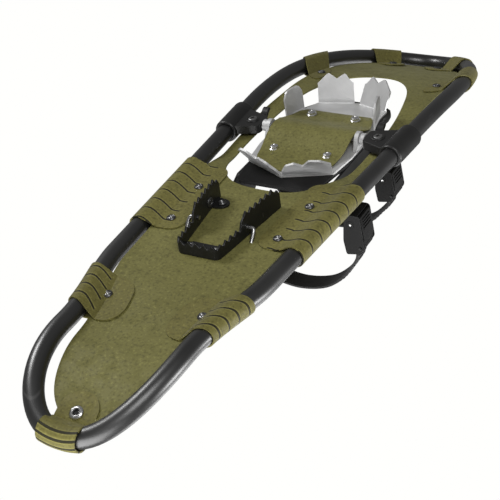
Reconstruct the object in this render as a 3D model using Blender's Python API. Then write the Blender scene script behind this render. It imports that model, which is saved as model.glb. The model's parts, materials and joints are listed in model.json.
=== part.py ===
"""Snowshoe with a hinged binding.

Metres, +Z up. The toe points along -Y, the tail along +Y, and the boot stands on the +Z side.
Heights below are measured from the middle plane of the frame tube. The last step lifts the
whole shoe by GROUND, so that it stands on Z = 0 on its longest teeth.
"""

import math

import bmesh
import bpy
from mathutils import Matrix, Vector

MM = 0.001

# ---------------------------------------------------------------- driving sizes
OVERALL_LENGTH = 762 * MM
TUBE_RADIUS = 8.5 * MM
TUBE_WALL = 1.5 * MM
GAP = 0.3 * MM  # running clearance between two separate pieces

HALF_LENGTH = OVERALL_LENGTH / 2 - TUBE_RADIUS
TAIL_HALF_WIDTH = 58.4 * MM
TAIL_LENGTH = 90.4 * MM
TAIL_POWER = 2.19
TOE_LENGTH = 197 * MM
TAIL_START = HALF_LENGTH - TAIL_LENGTH
TOE_START = -HALF_LENGTH + TOE_LENGTH
BODY_LENGTH = TAIL_START - TOE_START
BODY_TAIL_HALF_WIDTH = 69.2 * MM
BODY_FLARE = 29 * MM
SHOULDER_SHARE = 0.22  # share of the body taken by the tail shoulders
SOFT_SHARE = 0.15

TOE_LIFT_START = -103 * MM
TOE_LIFT_RADIUS = 585 * MM
TAIL_LIFT_RADIUS = 168 * MM

DECK_THICK = 1.4 * MM
FLAP_THICK = 1.2 * MM
FLAP_CLEAR = 0.85 * MM
FLAP_ARC_STEPS = 9
DECK_RISE = 7.5 * MM  # the deck passes over the pivot clamps
DECK_TOE_RISE = 2 * MM
DECK_TIP_RISE = 5.5 * MM  # extra, so the deck meets the top of the tube at the toe

OPENING_REAR = 47 * MM
OPENING_FRONT = -235 * MM
OPENING_HALF_WIDTH = 57.5 * MM

PIVOT_Y = -62 * MM
PIVOT_Z = -2 * MM
ROD_RADIUS = 3 * MM

RIVET_HEAD = 4.4 * MM
RIVET_SHANK = 1.7 * MM

# binding stack, from the underside up
PLATE_BOTTOM = 6.5 * MM
PLATE_THICK = 2 * MM
COVER_THICK = 1.2 * MM
FOOT_THICK = 3.6 * MM
FOOT_BOTTOM = PLATE_BOTTOM + PLATE_THICK + GAP
FOOT_TOP = FOOT_BOTTOM + FOOT_THICK
WING_FLANGE = 2.4 * MM
WING_INNER = 47.4 * MM
WING_OUTER = 50 * MM
BEND_START = -112 * MM
BEND_SLOPE = 0.21

CLEAT_REAR = 165 * MM
CLEAT_FRONT = 72 * MM
CLEAT_REAR_HALF = 20.5 * MM
CLEAT_FRONT_HALF = 31.5 * MM
CLEAT_TALL = 25.5 * MM
CLEAT_LOW = 14.5 * MM
CLEAT_STEP = 132 * MM
CLEAT_THICK = 2 * MM

LIFTER_Y = 122 * MM
LIFTER_Z = -9.5 * MM
LIFTER_HALF = 33 * MM
WIRE_RADIUS = 1.9 * MM


# ---------------------------------------------------------------- small helpers
def material(name, colour, metallic, roughness):
    made = bpy.data.materials.new(name)
    made.use_nodes = True
    shader = made.node_tree.nodes["Principled BSDF"]
    shader.inputs["Base Color"].default_value = (*colour, 1.0)
    shader.inputs["Metallic"].default_value = metallic
    shader.inputs["Roughness"].default_value = roughness
    return made


def add_object(name, verts, faces, look, smooth_degrees=32):
    mesh = bpy.data.meshes.new(name)
    mesh.from_pydata([tuple(v) for v in verts], [], faces)
    tidy = bmesh.new()
    tidy.from_mesh(mesh)
    bmesh.ops.remove_doubles(tidy, verts=tidy.verts, dist=1e-6)
    bmesh.ops.recalc_face_normals(tidy, faces=tidy.faces)
    tidy.to_mesh(mesh)
    tidy.free()
    made = bpy.data.objects.new(name, mesh)
    bpy.context.scene.collection.objects.link(made)
    if look is not None:
        mesh.materials.append(look)
    mesh.shade_smooth()
    mesh.set_sharp_from_angle(angle=math.radians(smooth_degrees))
    return made


def combine(target, other, operation):
    """Apply one boolean between two objects and drop the second."""
    step = target.modifiers.new("cut", "BOOLEAN")
    step.operation = operation
    step.solver = "EXACT"
    step.object = other
    bpy.context.view_layer.update()
    graph = bpy.context.evaluated_depsgraph_get()
    result = bpy.data.meshes.new_from_object(target.evaluated_get(graph))
    target.modifiers.clear()
    old = target.data
    looks = [m for m in old.materials]
    target.data = result
    result.materials.clear()
    for look in looks[:1]:
        result.materials.append(look)
    for face in result.polygons:
        face.material_index = 0
    result.name = target.name
    bpy.data.objects.remove(other)
    tidy = bmesh.new()
    tidy.from_mesh(result)
    bmesh.ops.remove_doubles(tidy, verts=tidy.verts, dist=2e-6)
    bmesh.ops.dissolve_degenerate(tidy, edges=tidy.edges, dist=1e-6)
    tidy.to_mesh(result)
    tidy.free()
    result.shade_smooth()
    result.set_sharp_from_angle(angle=math.radians(32))


def loft(rings, closed_path=False):
    """Join equal rings of points into a tube; end caps unless the path is closed."""
    count = len(rings[0])
    verts = [p for ring in rings for p in ring]
    faces = []
    last = len(rings) if closed_path else len(rings) - 1
    for i in range(last):
        a, b = i * count, ((i + 1) % len(rings)) * count
        for j in range(count):
            k = (j + 1) % count
            faces.append((a + j, a + k, b + k, b + j))
    if not closed_path:
        faces.append(tuple(range(count))[::-1])
        end = (len(rings) - 1) * count
        faces.append(tuple(end + j for j in range(count)))
    return verts, faces


def thick_sheet(grid, thickness):
    """Close a grid of points (rows by columns) into a plate of the given thickness."""
    rows, cols = len(grid), len(grid[0])
    top, low = [], []
    for i in range(rows):
        for j in range(cols):
            down = grid[min(i + 1, rows - 1)][j] - grid[max(i - 1, 0)][j]
            across = grid[i][min(j + 1, cols - 1)] - grid[i][max(j - 1, 0)]
            normal = across.cross(down).normalized()
            top.append(grid[i][j] + normal * thickness / 2)
            low.append(grid[i][j] - normal * thickness / 2)
    base = rows * cols
    faces = []
    for i in range(rows - 1):
        for j in range(cols - 1):
            a = i * cols + j
            faces.append((a, a + 1, a + cols + 1, a + cols))
            faces.append((base + a, base + a + cols, base + a + cols + 1, base + a + 1))
    edge = [j for j in range(cols)]
    edge += [i * cols + cols - 1 for i in range(1, rows)]
    edge += [(rows - 1) * cols + j for j in range(cols - 2, -1, -1)]
    edge += [i * cols for i in range(rows - 2, 0, -1)]
    for here, there in zip(edge, edge[1:] + edge[:1]):
        faces.append((here, base + here, base + there, there))
    return top + low, faces


def prism(outline, low, high, place):
    """Extrude a flat outline between two heights; place turns (u, v, w) into a point."""
    count = len(outline)
    verts = [place(u, v, low) for u, v in outline] + [place(u, v, high) for u, v in outline]
    faces = [tuple(range(count))[::-1], tuple(range(count, 2 * count))]
    for j in range(count):
        k = (j + 1) % count
        faces.append((j, k, count + k, count + j))
    return verts, faces


def plan(u, v, w):
    return Vector((u, v, w))


def side(u, v, w):
    """Outline drawn in the Y-Z plane, extruded along X."""
    return Vector((w, u, v))


def box(name, look, low, high):
    outline = [(low[0], low[1]), (high[0], low[1]), (high[0], high[1]), (low[0], high[1])]
    return add_object(name, *prism(outline, low[2], high[2], plan), look)


def arc(centre, radius, start_degrees, end_degrees, steps):
    points = []
    for i in range(steps + 1):
        angle = math.radians(start_degrees + (end_degrees - start_degrees) * i / steps)
        points.append((centre[0] + radius * math.cos(angle), centre[1] + radius * math.sin(angle)))
    return points


def turned(name, look, profile, place, steps=10):
    """Turn a profile of (radius, height) pairs about its axis; place is a 4x4 matrix."""
    verts, faces = [], []
    for radius, height in profile:
        for k in range(steps):
            angle = 2 * math.pi * k / steps
            point = Vector((radius * math.cos(angle), radius * math.sin(angle), height))
            verts.append(place @ point)
    rings = len(profile)
    hollow = min(r for r, _ in profile) > 0
    for i in range(rings if hollow else rings - 1):
        a, b = i * steps, ((i + 1) % rings) * steps
        for k in range(steps):
            m = (k + 1) % steps
            faces.append((a + k, a + m, b + m, b + k))
    return add_object(name, verts, faces, look)


def cylinder(name, look, radius, start, end, steps=12):
    axis = (end - start).normalized()
    turn = Vector((0, 0, 1)).rotation_difference(axis).to_matrix().to_4x4()
    length = (end - start).length
    return rod(name, look, radius, length, Matrix.Translation(start) @ turn, steps)


def rod(name, look, radius, length, place, steps):
    rings = []
    for height in (0.0, length):
        ring = []
        for k in range(steps):
            angle = 2 * math.pi * k / steps
            ring.append(place @ Vector((radius * math.cos(angle), radius * math.sin(angle), height)))
        rings.append(ring)
    return add_object(name, *loft(rings), look)


def smooth_step(value):
    value = min(1.0, max(0.0, value))
    return value * value * (3 - 2 * value)


# ---------------------------------------------------------------- frame line
def lift(y):
    """Height of the frame line: the toe and the tail both curl up on an arc."""
    if y < TOE_LIFT_START:
        run = TOE_LIFT_START - y
        return TOE_LIFT_RADIUS - math.sqrt(TOE_LIFT_RADIUS**2 - run**2)
    if y > TAIL_START:
        run = y - TAIL_START
        return TAIL_LIFT_RADIUS - math.sqrt(TAIL_LIFT_RADIUS**2 - run**2)
    return 0.0


def lift_slope(y):
    return (lift(y + 0.5 * MM) - lift(y - 0.5 * MM)) / MM


def body_half_width(y):
    share = (TAIL_START - y) / BODY_LENGTH
    soft = max(0.0, share - (1 - SOFT_SHARE)) ** 2 / (2 * SOFT_SHARE)
    flare = BODY_TAIL_HALF_WIDTH + BODY_FLARE * (share - soft)
    blend = smooth_step(share / SHOULDER_SHARE)
    return TAIL_HALF_WIDTH + (flare - TAIL_HALF_WIDTH) * blend


def half_frame_line():
    """Right half of the tube centre line, from the tail centre to the toe centre."""
    points = []
    tail_steps, body_steps, toe_steps = 40, 60, 60
    for i in range(tail_steps):
        angle = math.pi / 2 * i / tail_steps
        x = TAIL_HALF_WIDTH * math.sin(angle) ** (2 / TAIL_POWER)
        y = TAIL_START + TAIL_LENGTH * math.cos(angle) ** (2 / TAIL_POWER)
        points.append((x, y))
    toe_width = body_half_width(TOE_START)
    for i in range(body_steps):
        y = TAIL_START - BODY_LENGTH * i / body_steps
        points.append((body_half_width(y), y))
    for i in range(toe_steps + 1):
        angle = math.pi / 2 * i / toe_steps
        points.append((toe_width * math.cos(angle), TOE_START - TOE_LENGTH * math.sin(angle)))
    points[-1] = (0.0, -HALF_LENGTH)
    return points


HALF_LINE = half_frame_line()
LINE = [Vector((x, y, lift(y))) for x, y in HALF_LINE]
LINE += [Vector((-x, y, lift(y))) for x, y in reversed(HALF_LINE[1:-1])]
STEPS = [0.0]
for here, there in zip(LINE, LINE[1:] + LINE[:1]):
    STEPS.append(STEPS[-1] + (there - here).length)
AROUND = STEPS[-1]


def line_point(s):
    s = s % AROUND
    low, high = 0, len(LINE)
    while high - low > 1:
        middle = (low + high) // 2
        if STEPS[middle] <= s:
            low = middle
        else:
            high = middle
    share = (s - STEPS[low]) / (STEPS[low + 1] - STEPS[low])
    return LINE[low].lerp(LINE[(low + 1) % len(LINE)], share)


def line_frame(s):
    """Point, outward and upward directions of the frame line at distance s."""
    reach = 2 * MM
    along = (line_point(s + reach) - line_point(s - reach)).normalized()
    outward = Vector((0, 0, 1)).cross(along).normalized()
    return line_point(s), outward, along.cross(outward).normalized()


def nearest_station(x, y):
    """Distance along the right half of the line to the point nearest (x, y)."""
    best = min(range(len(HALF_LINE)), key=lambda i: math.hypot(LINE[i].x - x, LINE[i].y - y))
    return STEPS[best]


def sweep_stations(start, end, turn_degrees, longest):
    """Stations from start to end, closer together where the line turns faster."""
    stations = [start]
    s, step = start, 2 * MM
    outward = line_frame(s)[1]
    turned_by = 0.0
    while s < end - step:
        s += step
        before, outward = outward, line_frame(s)[1]
        turned_by += math.degrees(before.angle(outward, 0.0))
        if turned_by > turn_degrees or s - stations[-1] > longest:
            stations.append(s)
            turned_by = 0.0
    if end - stations[-1] < 5 * MM:
        stations.pop()
    stations.append(end)
    return stations


def section_ring(s, radius, steps):
    centre, outward, up = line_frame(s)
    ring = []
    for k in range(steps):
        angle = 2 * math.pi * (k + 0.5) / steps
        ring.append(centre + outward * radius * math.cos(angle) + up * radius * math.sin(angle))
    return ring


def pipe(name, look, stations, outer, inner, steps):
    """A hollow tube along the frame line, open at both ends."""
    out_rings = [section_ring(s, outer, steps) for s in stations]
    in_rings = [section_ring(s, inner, steps) for s in stations]
    rings = out_rings + in_rings[::-1]
    verts, faces = loft(rings, closed_path=True)
    return add_object(name, verts, faces, look)


# ---------------------------------------------------------------- deck surface
def deck_gap(y):
    """Open gap between the tube and the free edge of the deck."""
    tail = 6 * MM * smooth_step((y - 255 * MM) / (75 * MM))
    toe = 5 * MM * smooth_step((-100 * MM - y) / (80 * MM))
    return 4 * MM + tail + toe


def deck_edge_line():
    points = []
    for i, (x, y) in enumerate(HALF_LINE):
        _, outward, _ = line_frame(STEPS[i])
        inset = TUBE_RADIUS + deck_gap(y)
        points.append((max(0.0, x - outward.x * inset), y - outward.y * inset))
    points[0] = (0.0, points[0][1])
    points[-1] = (0.0, points[-1][1])
    return points


EDGE_LINE = deck_edge_line()


def deck_edge(y):
    """Half width of the deck at y."""
    for (x0, y0), (x1, y1) in zip(EDGE_LINE, EDGE_LINE[1:]):
        if y0 >= y >= y1 and y0 > y1:
            return x0 + (x1 - x0) * (y0 - y) / (y0 - y1)
    return 0.0


def deck_height(y):
    """Middle of the deck sheet; it rises over the clamps and stays a little high to the toe."""
    rear_ramp = smooth_step((30 * MM - y) / (45 * MM))
    front_ramp = smooth_step((-112 * MM - y) / (55 * MM))
    tip_ramp = max(0.0, (-210 * MM - y) / (150 * MM))
    rise = DECK_RISE * rear_ramp + (DECK_TOE_RISE - DECK_RISE) * front_ramp
    return lift(y) + rise + DECK_TIP_RISE * tip_ramp


def deck_slope(y):
    return (deck_height(y + 0.5 * MM) - deck_height(y - 0.5 * MM)) / MM


def opening_half_width(y):
    middle = (OPENING_REAR + OPENING_FRONT) / 2
    half = (OPENING_REAR - OPENING_FRONT) / 2
    share = abs(y - middle) / half
    if share >= 1:
        return 0.0
    power = 3.3 if y > middle else 2.4
    return OPENING_HALF_WIDTH * (1 - share**power) ** (1 / power)


def deck_rows():
    rear_end, front_end = EDGE_LINE[0][1], EDGE_LINE[-1][1]
    rows = []
    tail_zone = rear_end - 70 * MM
    for i in range(6):
        rows.append(rear_end - 70 * MM * (1 - math.cos(math.pi / 2 * i / 6)))
    for i in range(9):
        rows.append(tail_zone + (OPENING_REAR - tail_zone) * i / 9)
    middle = (OPENING_REAR + OPENING_FRONT) / 2
    half = (OPENING_REAR - OPENING_FRONT) / 2
    for i in range(20):
        rows.append(middle + half * math.cos(math.pi * i / 20))
    for i in range(9):
        share = math.sin(math.pi / 2 * i / 8)
        rows.append(OPENING_FRONT + (front_end - OPENING_FRONT) * share)
    return rows


def build_deck_sheet(look):
    rows = deck_rows()
    verts, faces = [], []
    columns = 2

    def row_points(y, hand, face):
        inner, outer = opening_half_width(y), deck_edge(y)
        points = []
        for j in range(columns + 1):
            x = hand * (inner + (outer - inner) * j / columns)
            points.append(Vector((x, y, deck_height(y) + face * DECK_THICK / 2)))
        return points

    for hand in (1, -1):
        for face in (1, -1):
            start = len(verts)
            for y in rows:
                verts.extend(row_points(y, hand, face))
            for i in range(len(rows) - 1):
                for j in range(columns):
                    a = start + i * (columns + 1) + j
                    faces.append((a, a + 1, a + columns + 2, a + columns + 1))
    block = len(rows) * (columns + 1)
    for hand_index in range(2):
        top = hand_index * 2 * block
        low = top + block
        for i in range(len(rows) - 1):
            a = i * (columns + 1)
            b = a + columns + 1
            faces.append((top + a + columns, top + b + columns, low + b + columns, low + a + columns))
            middle = (rows[i] + rows[i + 1]) / 2
            if OPENING_FRONT < middle < OPENING_REAR:
                faces.append((top + a, top + b, low + b, low + a))
    return weld_faces("deck", verts, faces, look)


def weld_faces(name, verts, faces, look):
    """Add an object after merging doubles and dropping faces that have collapsed."""
    mesh = bpy.data.meshes.new(name)
    mesh.from_pydata([tuple(v) for v in verts], [], faces)
    tidy = bmesh.new()
    tidy.from_mesh(mesh)
    bmesh.ops.remove_doubles(tidy, verts=tidy.verts, dist=1e-5)
    bmesh.ops.dissolve_degenerate(tidy, edges=tidy.edges, dist=1e-6)
    loose = [v for v in tidy.verts if not v.link_faces]
    bmesh.ops.delete(tidy, geom=loose, context="VERTS")
    bmesh.ops.recalc_face_normals(tidy, faces=tidy.faces)
    tidy.to_mesh(mesh)
    tidy.free()
    made = bpy.data.objects.new(name, mesh)
    bpy.context.scene.collection.objects.link(made)
    mesh.materials.append(look)
    mesh.shade_smooth()
    mesh.set_sharp_from_angle(angle=math.radians(32))
    return made


# ---------------------------------------------------------------- flaps round the tube
def deck_across(centre, outward, up, across):
    """Height of the deck above the tube centre, in the tube's cross plane."""
    y = centre.y + outward.y * across
    return (deck_height(y) - centre.z) / up.z


def flap_section(centre, outward, up, root, reach):
    """Path of a flap as (outward, up) pairs: off the deck edge, round the tube and back."""
    radius = TUBE_RADIUS + FLAP_CLEAR + FLAP_THICK / 2
    rise = deck_across(centre, outward, up, -root)
    points = [(-root, rise)]
    top_tilt = math.atan2(rise, root)
    start = 180 - math.degrees(math.acos(radius / math.hypot(root, rise)) + top_tilt)

    def under(across):
        here = deck_across(centre, outward, up, -across)
        slope = (here - deck_across(centre, outward, up, -across - MM)) / MM
        return here - (DECK_THICK / 2 + GAP + FLAP_THICK / 2) * math.hypot(1, slope)

    landing = TUBE_RADIUS + 4.6 * MM
    low_tilt = math.atan2(-under(landing), landing)
    low_turn = math.acos(radius / math.hypot(landing, under(landing))) + low_tilt
    points += arc((0, 0), radius, start, math.degrees(low_turn) - 180, FLAP_ARC_STEPS)
    for share in (0.0, 0.5, 1.0):
        across = landing + (reach - landing) * share
        points.append((-across, under(across)))
    return points


def skewed(s, across, skew):
    """Station reached by a flap that drifts along the tube as it runs inward."""
    return s - skew * across


def build_flap(centre_s, length, reach, end_round, skew, segments):
    """One deck flap round the tube; reach is measured in from the tube centre line."""
    grid = []
    for i in range(segments + 1):
        share = 0.5 - 0.5 * math.cos(math.pi * i / segments)
        from_side = length * min(share, 1 - share)
        s = centre_s + length * (share - 0.5)
        centre, outward, up = line_frame(s)
        root = TUBE_RADIUS + deck_gap(centre.y) + 1.5 * MM
        cut_back = 0.0
        if from_side < end_round:
            cut_back = end_round - math.sqrt(max(0.0, end_round**2 - (end_round - from_side) ** 2))
        local_reach = max(reach - cut_back, TUBE_RADIUS + 9 * MM)
        section = flap_section(centre, outward, up, root, local_reach)
        row = []
        for k, (across, height) in enumerate(section):
            here, out_here, up_here = line_frame(skewed(s, across, skew))
            level = deck_across(centre, outward, up, across)
            shift = deck_across(here, out_here, up_here, across) - level
            on_deck = k == 0 or k >= len(section) - 3
            row.append(here + out_here * across + up_here * (height + (shift if on_deck else 0)))
        grid.append(row)
    return add_object("flap", *thick_sheet(grid, FLAP_THICK), None)


CORNER_SKEW = 1.05
FRONT_SKEW = 0.25
SIDE_STATION = nearest_station(body_half_width(238 * MM), 238 * MM)
MID_STATION = nearest_station(body_half_width(84 * MM), 84 * MM)
CORNER_STATION = nearest_station(90 * MM, -246 * MM)
FRONT_STATION = nearest_station(50 * MM, -346 * MM)


def flap_list():
    """Station, length, reach, corner radius, skew and segments of every flap."""
    rows = [(0.0, 46 * MM, 39 * MM, 20 * MM, 0.0, 6)]
    for hand in (1, -1):
        for station, length, reach, corner, skew, segments in (
            (SIDE_STATION, 52 * MM, 38 * MM, 22 * MM, 0.0, 6),
            (MID_STATION, 110 * MM, 41 * MM, 12 * MM, 0.0, 8),
            (CORNER_STATION, 34 * MM, 35 * MM, 12 * MM, CORNER_SKEW, 5),
            (FRONT_STATION, 36 * MM, 45 * MM, 14 * MM, FRONT_SKEW, 5),
        ):
            centre = station if hand > 0 else AROUND - station
            rows.append((centre, length, reach, corner, -hand * skew, segments))
    return rows


def below_frame(station, inward):
    """Point on the deck, a distance inward from the tube centre line."""
    centre, outward, _ = line_frame(station)
    x = centre.x - outward.x * inward
    y = centre.y - outward.y * inward
    return x, y


# ---------------------------------------------------------------- fasteners
def deck_place(x, y):
    """Frame standing on the deck surface at (x, y), Z normal to the sheet."""
    tilt = Matrix.Rotation(math.atan(deck_slope(y)), 4, "X")
    return Matrix.Translation(Vector((x, y, deck_height(y)))) @ tilt


def rivet_profile(bottom, top, head, head_height, washer):
    """Domed head under the stack, set head above it."""
    return [
        (head * 0.5, bottom - head_height),
        (head, bottom),
        (RIVET_SHANK, bottom),
        (RIVET_SHANK, top),
        (washer, top),
        (washer * 0.7, top + 0.9 * MM),
    ]


def closed_turn(name, look, profile, place, steps=8):
    """Turned solid closed on its axis by flat end faces."""
    rings = []
    for radius, height in profile:
        ring = []
        for k in range(steps):
            angle = 2 * math.pi * (k + 0.5) / steps
            ring.append(place @ Vector((radius * math.cos(angle), radius * math.sin(angle), height)))
        rings.append(ring)
    return add_object(name, *loft(rings), look)


def deck_rivet(name, look, x, y, lay):
    """Rivet through the deck and a flap; lay is how far its head stands off the flap."""
    top = DECK_THICK / 2 + 0.2 * MM
    bottom = -DECK_THICK / 2 - GAP - FLAP_THICK - lay
    closed_turn(name, look, rivet_profile(bottom, top, RIVET_HEAD, 1.7 * MM, 2.8 * MM), deck_place(x, y))


def hole_cutter(place, radius, low, high, steps=12):
    """Cutter that fills the hole of one fastener."""
    rings = []
    for height in (low, high):
        ring = []
        for k in range(steps):
            angle = 2 * math.pi * (k + 0.5) / steps
            ring.append(place @ Vector((radius * math.cos(angle), radius * math.sin(angle), height)))
        rings.append(ring)
    return add_object("hole", *loft(rings), None)


# ---------------------------------------------------------------- start from an empty scene
for old in list(bpy.data.objects):
    bpy.data.objects.remove(old)

TUBE_LOOK = material("black_tube", (0.016, 0.016, 0.018), 0.35, 0.34)
STEEL_LOOK = material("steel", (0.42, 0.42, 0.44), 1.0, 0.32)
DECK_LOOK = material("olive_deck", (0.115, 0.105, 0.028), 0.0, 0.62)
PLASTIC_LOOK = material("black_plastic", (0.014, 0.014, 0.015), 0.0, 0.45)
ALLOY_LOOK = material("bright_alloy", (0.72, 0.73, 0.75), 1.0, 0.3)
BLACK_STEEL_LOOK = material("black_steel", (0.012, 0.012, 0.013), 0.5, 0.4)
STRAP_LOOK = material("strap_rubber", (0.018, 0.018, 0.02), 0.0, 0.5)
DARK_RIVET_LOOK = material("dark_rivet", (0.05, 0.05, 0.055), 0.9, 0.35)

# ---------------------------------------------------------------- frame tube and ferrule
TAIL_SLIT = 0.3 * MM
tube_stations = sweep_stations(TAIL_SLIT, AROUND - TAIL_SLIT, 7.5, 70 * MM)
pipe("frame_tube", TUBE_LOOK, tube_stations, TUBE_RADIUS, TUBE_RADIUS - TUBE_WALL, 12)
sleeve_stations = [-30 * MM + 10 * MM * i for i in range(7)]
SLEEVE_RADIUS = (TUBE_RADIUS - TUBE_WALL - GAP) * math.cos(math.pi / 12) - 0.15 * MM
pipe("tail_ferrule", STEEL_LOOK, sleeve_stations, SLEEVE_RADIUS, SLEEVE_RADIUS - 1.2 * MM, 12)

# ---------------------------------------------------------------- deck with its flaps
deck = build_deck_sheet(DECK_LOOK)
FLAPS = flap_list()
for flap_row in FLAPS:
    combine(deck, build_flap(*flap_row), "UNION")

# rivets of the flaps: (x, y) on the right half, and how far the head stands off the sloping flap
FLAT_LAY = 0.2 * MM
SLOPED_LAY = 0.6 * MM
CORNER_RIVET_INWARD = 25.5 * MM
FRONT_RIVET_INWARD = 31 * MM
corner_rivet = below_frame(CORNER_STATION - CORNER_SKEW * CORNER_RIVET_INWARD, CORNER_RIVET_INWARD)
front_rivet = below_frame(FRONT_STATION - FRONT_SKEW * FRONT_RIVET_INWARD, FRONT_RIVET_INWARD)
RIVET_SPOTS = {
    "side": (46.2 * MM, 236 * MM, FLAT_LAY),
    "mid_rear": (54.5 * MM, 121 * MM, FLAT_LAY),
    "mid_front": (58 * MM, 66 * MM, SLOPED_LAY),
    "corner": (*corner_rivet, FLAT_LAY),
    "front": (*front_rivet, SLOPED_LAY),
}
for hand, side_name in ((1, "right"), (-1, "left")):
    for spot_name, (x, y, lay) in RIVET_SPOTS.items():
        hole = hole_cutter(deck_place(hand * x, y), RIVET_SHANK + GAP, -5 * MM, 3 * MM)
        combine(deck, hole, "DIFFERENCE")
        deck_rivet(f"rivet_{spot_name}_{side_name}", DARK_RIVET_LOOK, hand * x, y, lay)

TAIL_RIVET_Y = 343.5 * MM
EYELET_BORE = 2.6 * MM
EYELET_SHANK = 3.6 * MM
combine(
    deck,
    hole_cutter(deck_place(0, TAIL_RIVET_Y), EYELET_SHANK + GAP, -5 * MM, 3 * MM),
    "DIFFERENCE",
)
eyelet_top = DECK_THICK / 2 + 0.3 * MM
eyelet_low = -DECK_THICK / 2 - GAP - FLAP_THICK - 0.4 * MM
turned(
    "tail_eyelet",
    ALLOY_LOOK,
    [
        (EYELET_BORE, eyelet_low - 0.5 * MM),
        (3.8 * MM, eyelet_low - 1.4 * MM),
        (5.6 * MM, eyelet_low - 0.9 * MM),
        (6 * MM, eyelet_low),
        (EYELET_SHANK, eyelet_low),
        (EYELET_SHANK, eyelet_top),
        (5.6 * MM, eyelet_top),
        (5.4 * MM, eyelet_top + 0.8 * MM),
        (EYELET_BORE, eyelet_top + 0.8 * MM),
    ],
    deck_place(0, TAIL_RIVET_Y),
    12,
)

# slots the heel lifter swings in
for hand in (1, -1):
    x0, x1 = hand * LIFTER_HALF - 2.9 * MM, hand * LIFTER_HALF + 2.9 * MM
    slot = box("slot", None, (x0, 111 * MM, -4 * MM), (x1, 137 * MM, 4 * MM))
    combine(deck, slot, "DIFFERENCE")

# ---------------------------------------------------------------- pivot clamps, rod and screws
CLAMP_RADIUS = TUBE_RADIUS + 3.4 * MM
CLAMP_LENGTH = 46 * MM
LUG_LOW = PIVOT_Z - 4.6 * MM
LUG_HIGH = PIVOT_Z + 4.6 * MM
LUG_TIP = 56.5 * MM
LUG_HALF = 15 * MM
SCREW_X = 69 * MM
pivot_station = nearest_station(body_half_width(PIVOT_Y), PIVOT_Y)

for hand, side_name in ((1, "right"), (-1, "left")):
    middle = pivot_station if hand > 0 else AROUND - pivot_station
    stations = [middle + CLAMP_LENGTH * (i / 4 - 0.5) for i in range(5)]
    clamp_name = f"pivot_clamp_{side_name}"
    clamp = pipe(clamp_name, PLASTIC_LOOK, stations, CLAMP_RADIUS, TUBE_RADIUS + GAP, 16)
    tube_x = body_half_width(PIVOT_Y)
    root = tube_x - TUBE_RADIUS - 1.4 * MM
    nose = LUG_TIP + 9 * MM
    outline = [(root, PIVOT_Y + 21 * MM), (nose + 4 * MM, PIVOT_Y + LUG_HALF)]
    outline += [(LUG_TIP + 1 * MM, PIVOT_Y + 11 * MM), (LUG_TIP, PIVOT_Y + 7 * MM)]
    outline += [(LUG_TIP, PIVOT_Y - 7 * MM), (LUG_TIP + 1 * MM, PIVOT_Y - 11 * MM)]
    outline += [(nose + 4 * MM, PIVOT_Y - LUG_HALF), (root, PIVOT_Y - 21 * MM)]
    outline = [(hand * x, y) for x, y in outline]
    lug = add_object("lug", *prism(outline, LUG_LOW, LUG_HIGH, plan), None)
    combine(clamp, lug, "UNION")
    bore_start = Vector((hand * (LUG_TIP - 2 * MM), PIVOT_Y, PIVOT_Z))
    bore_end = Vector((hand * (LUG_TIP + 7 * MM), PIVOT_Y, PIVOT_Z))
    bore = cylinder("bore", None, ROD_RADIUS + GAP, bore_start, bore_end, 16)
    combine(clamp, bore, "DIFFERENCE")
    screw_place = Matrix.Translation(Vector((hand * SCREW_X, PIVOT_Y, 0)))
    screw_hole = hole_cutter(screw_place, 2.2 * MM + GAP, LUG_LOW - 2 * MM, LUG_HIGH + 2 * MM)
    combine(clamp, screw_hole, "DIFFERENCE")
    closed_turn(
        f"clamp_screw_{side_name}",
        DARK_RIVET_LOOK,
        [
            (2.6 * MM, LUG_LOW - 2.1 * MM),
            (4.2 * MM, LUG_LOW - 1.7 * MM),
            (4.8 * MM, LUG_LOW - 0.1 * MM),
            (2.2 * MM, LUG_LOW - 0.1 * MM),
            (2.2 * MM, LUG_HIGH + 0.1 * MM),
            (3.6 * MM, LUG_HIGH + 0.1 * MM),
            (3.4 * MM, LUG_HIGH + 0.9 * MM),
        ],
        screw_place,
        12,
    )

ROD_HALF = LUG_TIP + 6.6 * MM
cylinder(
    "pivot_rod",
    STEEL_LOOK,
    ROD_RADIUS,
    Vector((-ROD_HALF, PIVOT_Y, PIVOT_Z)),
    Vector((ROD_HALF, PIVOT_Y, PIVOT_Z)),
    16,
)
EAR_INNER = 46.6 * MM
EAR_OUTER = 50.6 * MM
for hand, side_name in ((1, "right"), (-1, "left")):
    spacer_place = Matrix.Translation(Vector((0, PIVOT_Y, PIVOT_Z))) @ Matrix.Rotation(math.pi / 2, 4, "Y")
    start, end = EAR_OUTER + GAP, LUG_TIP - GAP
    inner, outer = ROD_RADIUS + GAP, 6 * MM
    low, high = (start, end) if hand > 0 else (-end, -start)
    turned(
        f"pivot_spacer_{side_name}",
        ALLOY_LOOK,
        [(inner, low), (outer, low), (outer, high), (inner, high)],
        spacer_place,
        12,
    )

# ---------------------------------------------------------------- crampon
CHEVRON_REAR = 12 * MM
CHEVRON_REAR_SIDE = -8 * MM
CHEVRON_FRONT = -166 * MM
CHEVRON_FRONT_SIDE = -150 * MM


def bend(y):
    """Toe-up bend shared by the crampon, the foot plate and what lies on them."""
    return BEND_SLOPE * max(0.0, BEND_START - y)


def crampon_half_width(y):
    corners = [
        (CHEVRON_REAR, 0.0),
        (CHEVRON_REAR_SIDE, 46.5 * MM),
        (-40 * MM, 50.6 * MM),
        (-86 * MM, 50.6 * MM),
        (-97 * MM, 49 * MM),
        (-124 * MM, 43 * MM),
        (CHEVRON_FRONT_SIDE, 39.5 * MM),
        (CHEVRON_FRONT, 0.0),
    ]
    for (y0, x0), (y1, x1) in zip(corners, corners[1:]):
        if y0 >= y >= y1:
            return x0 + (x1 - x0) * (y0 - y) / (y0 - y1)
    return 0.0


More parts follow.
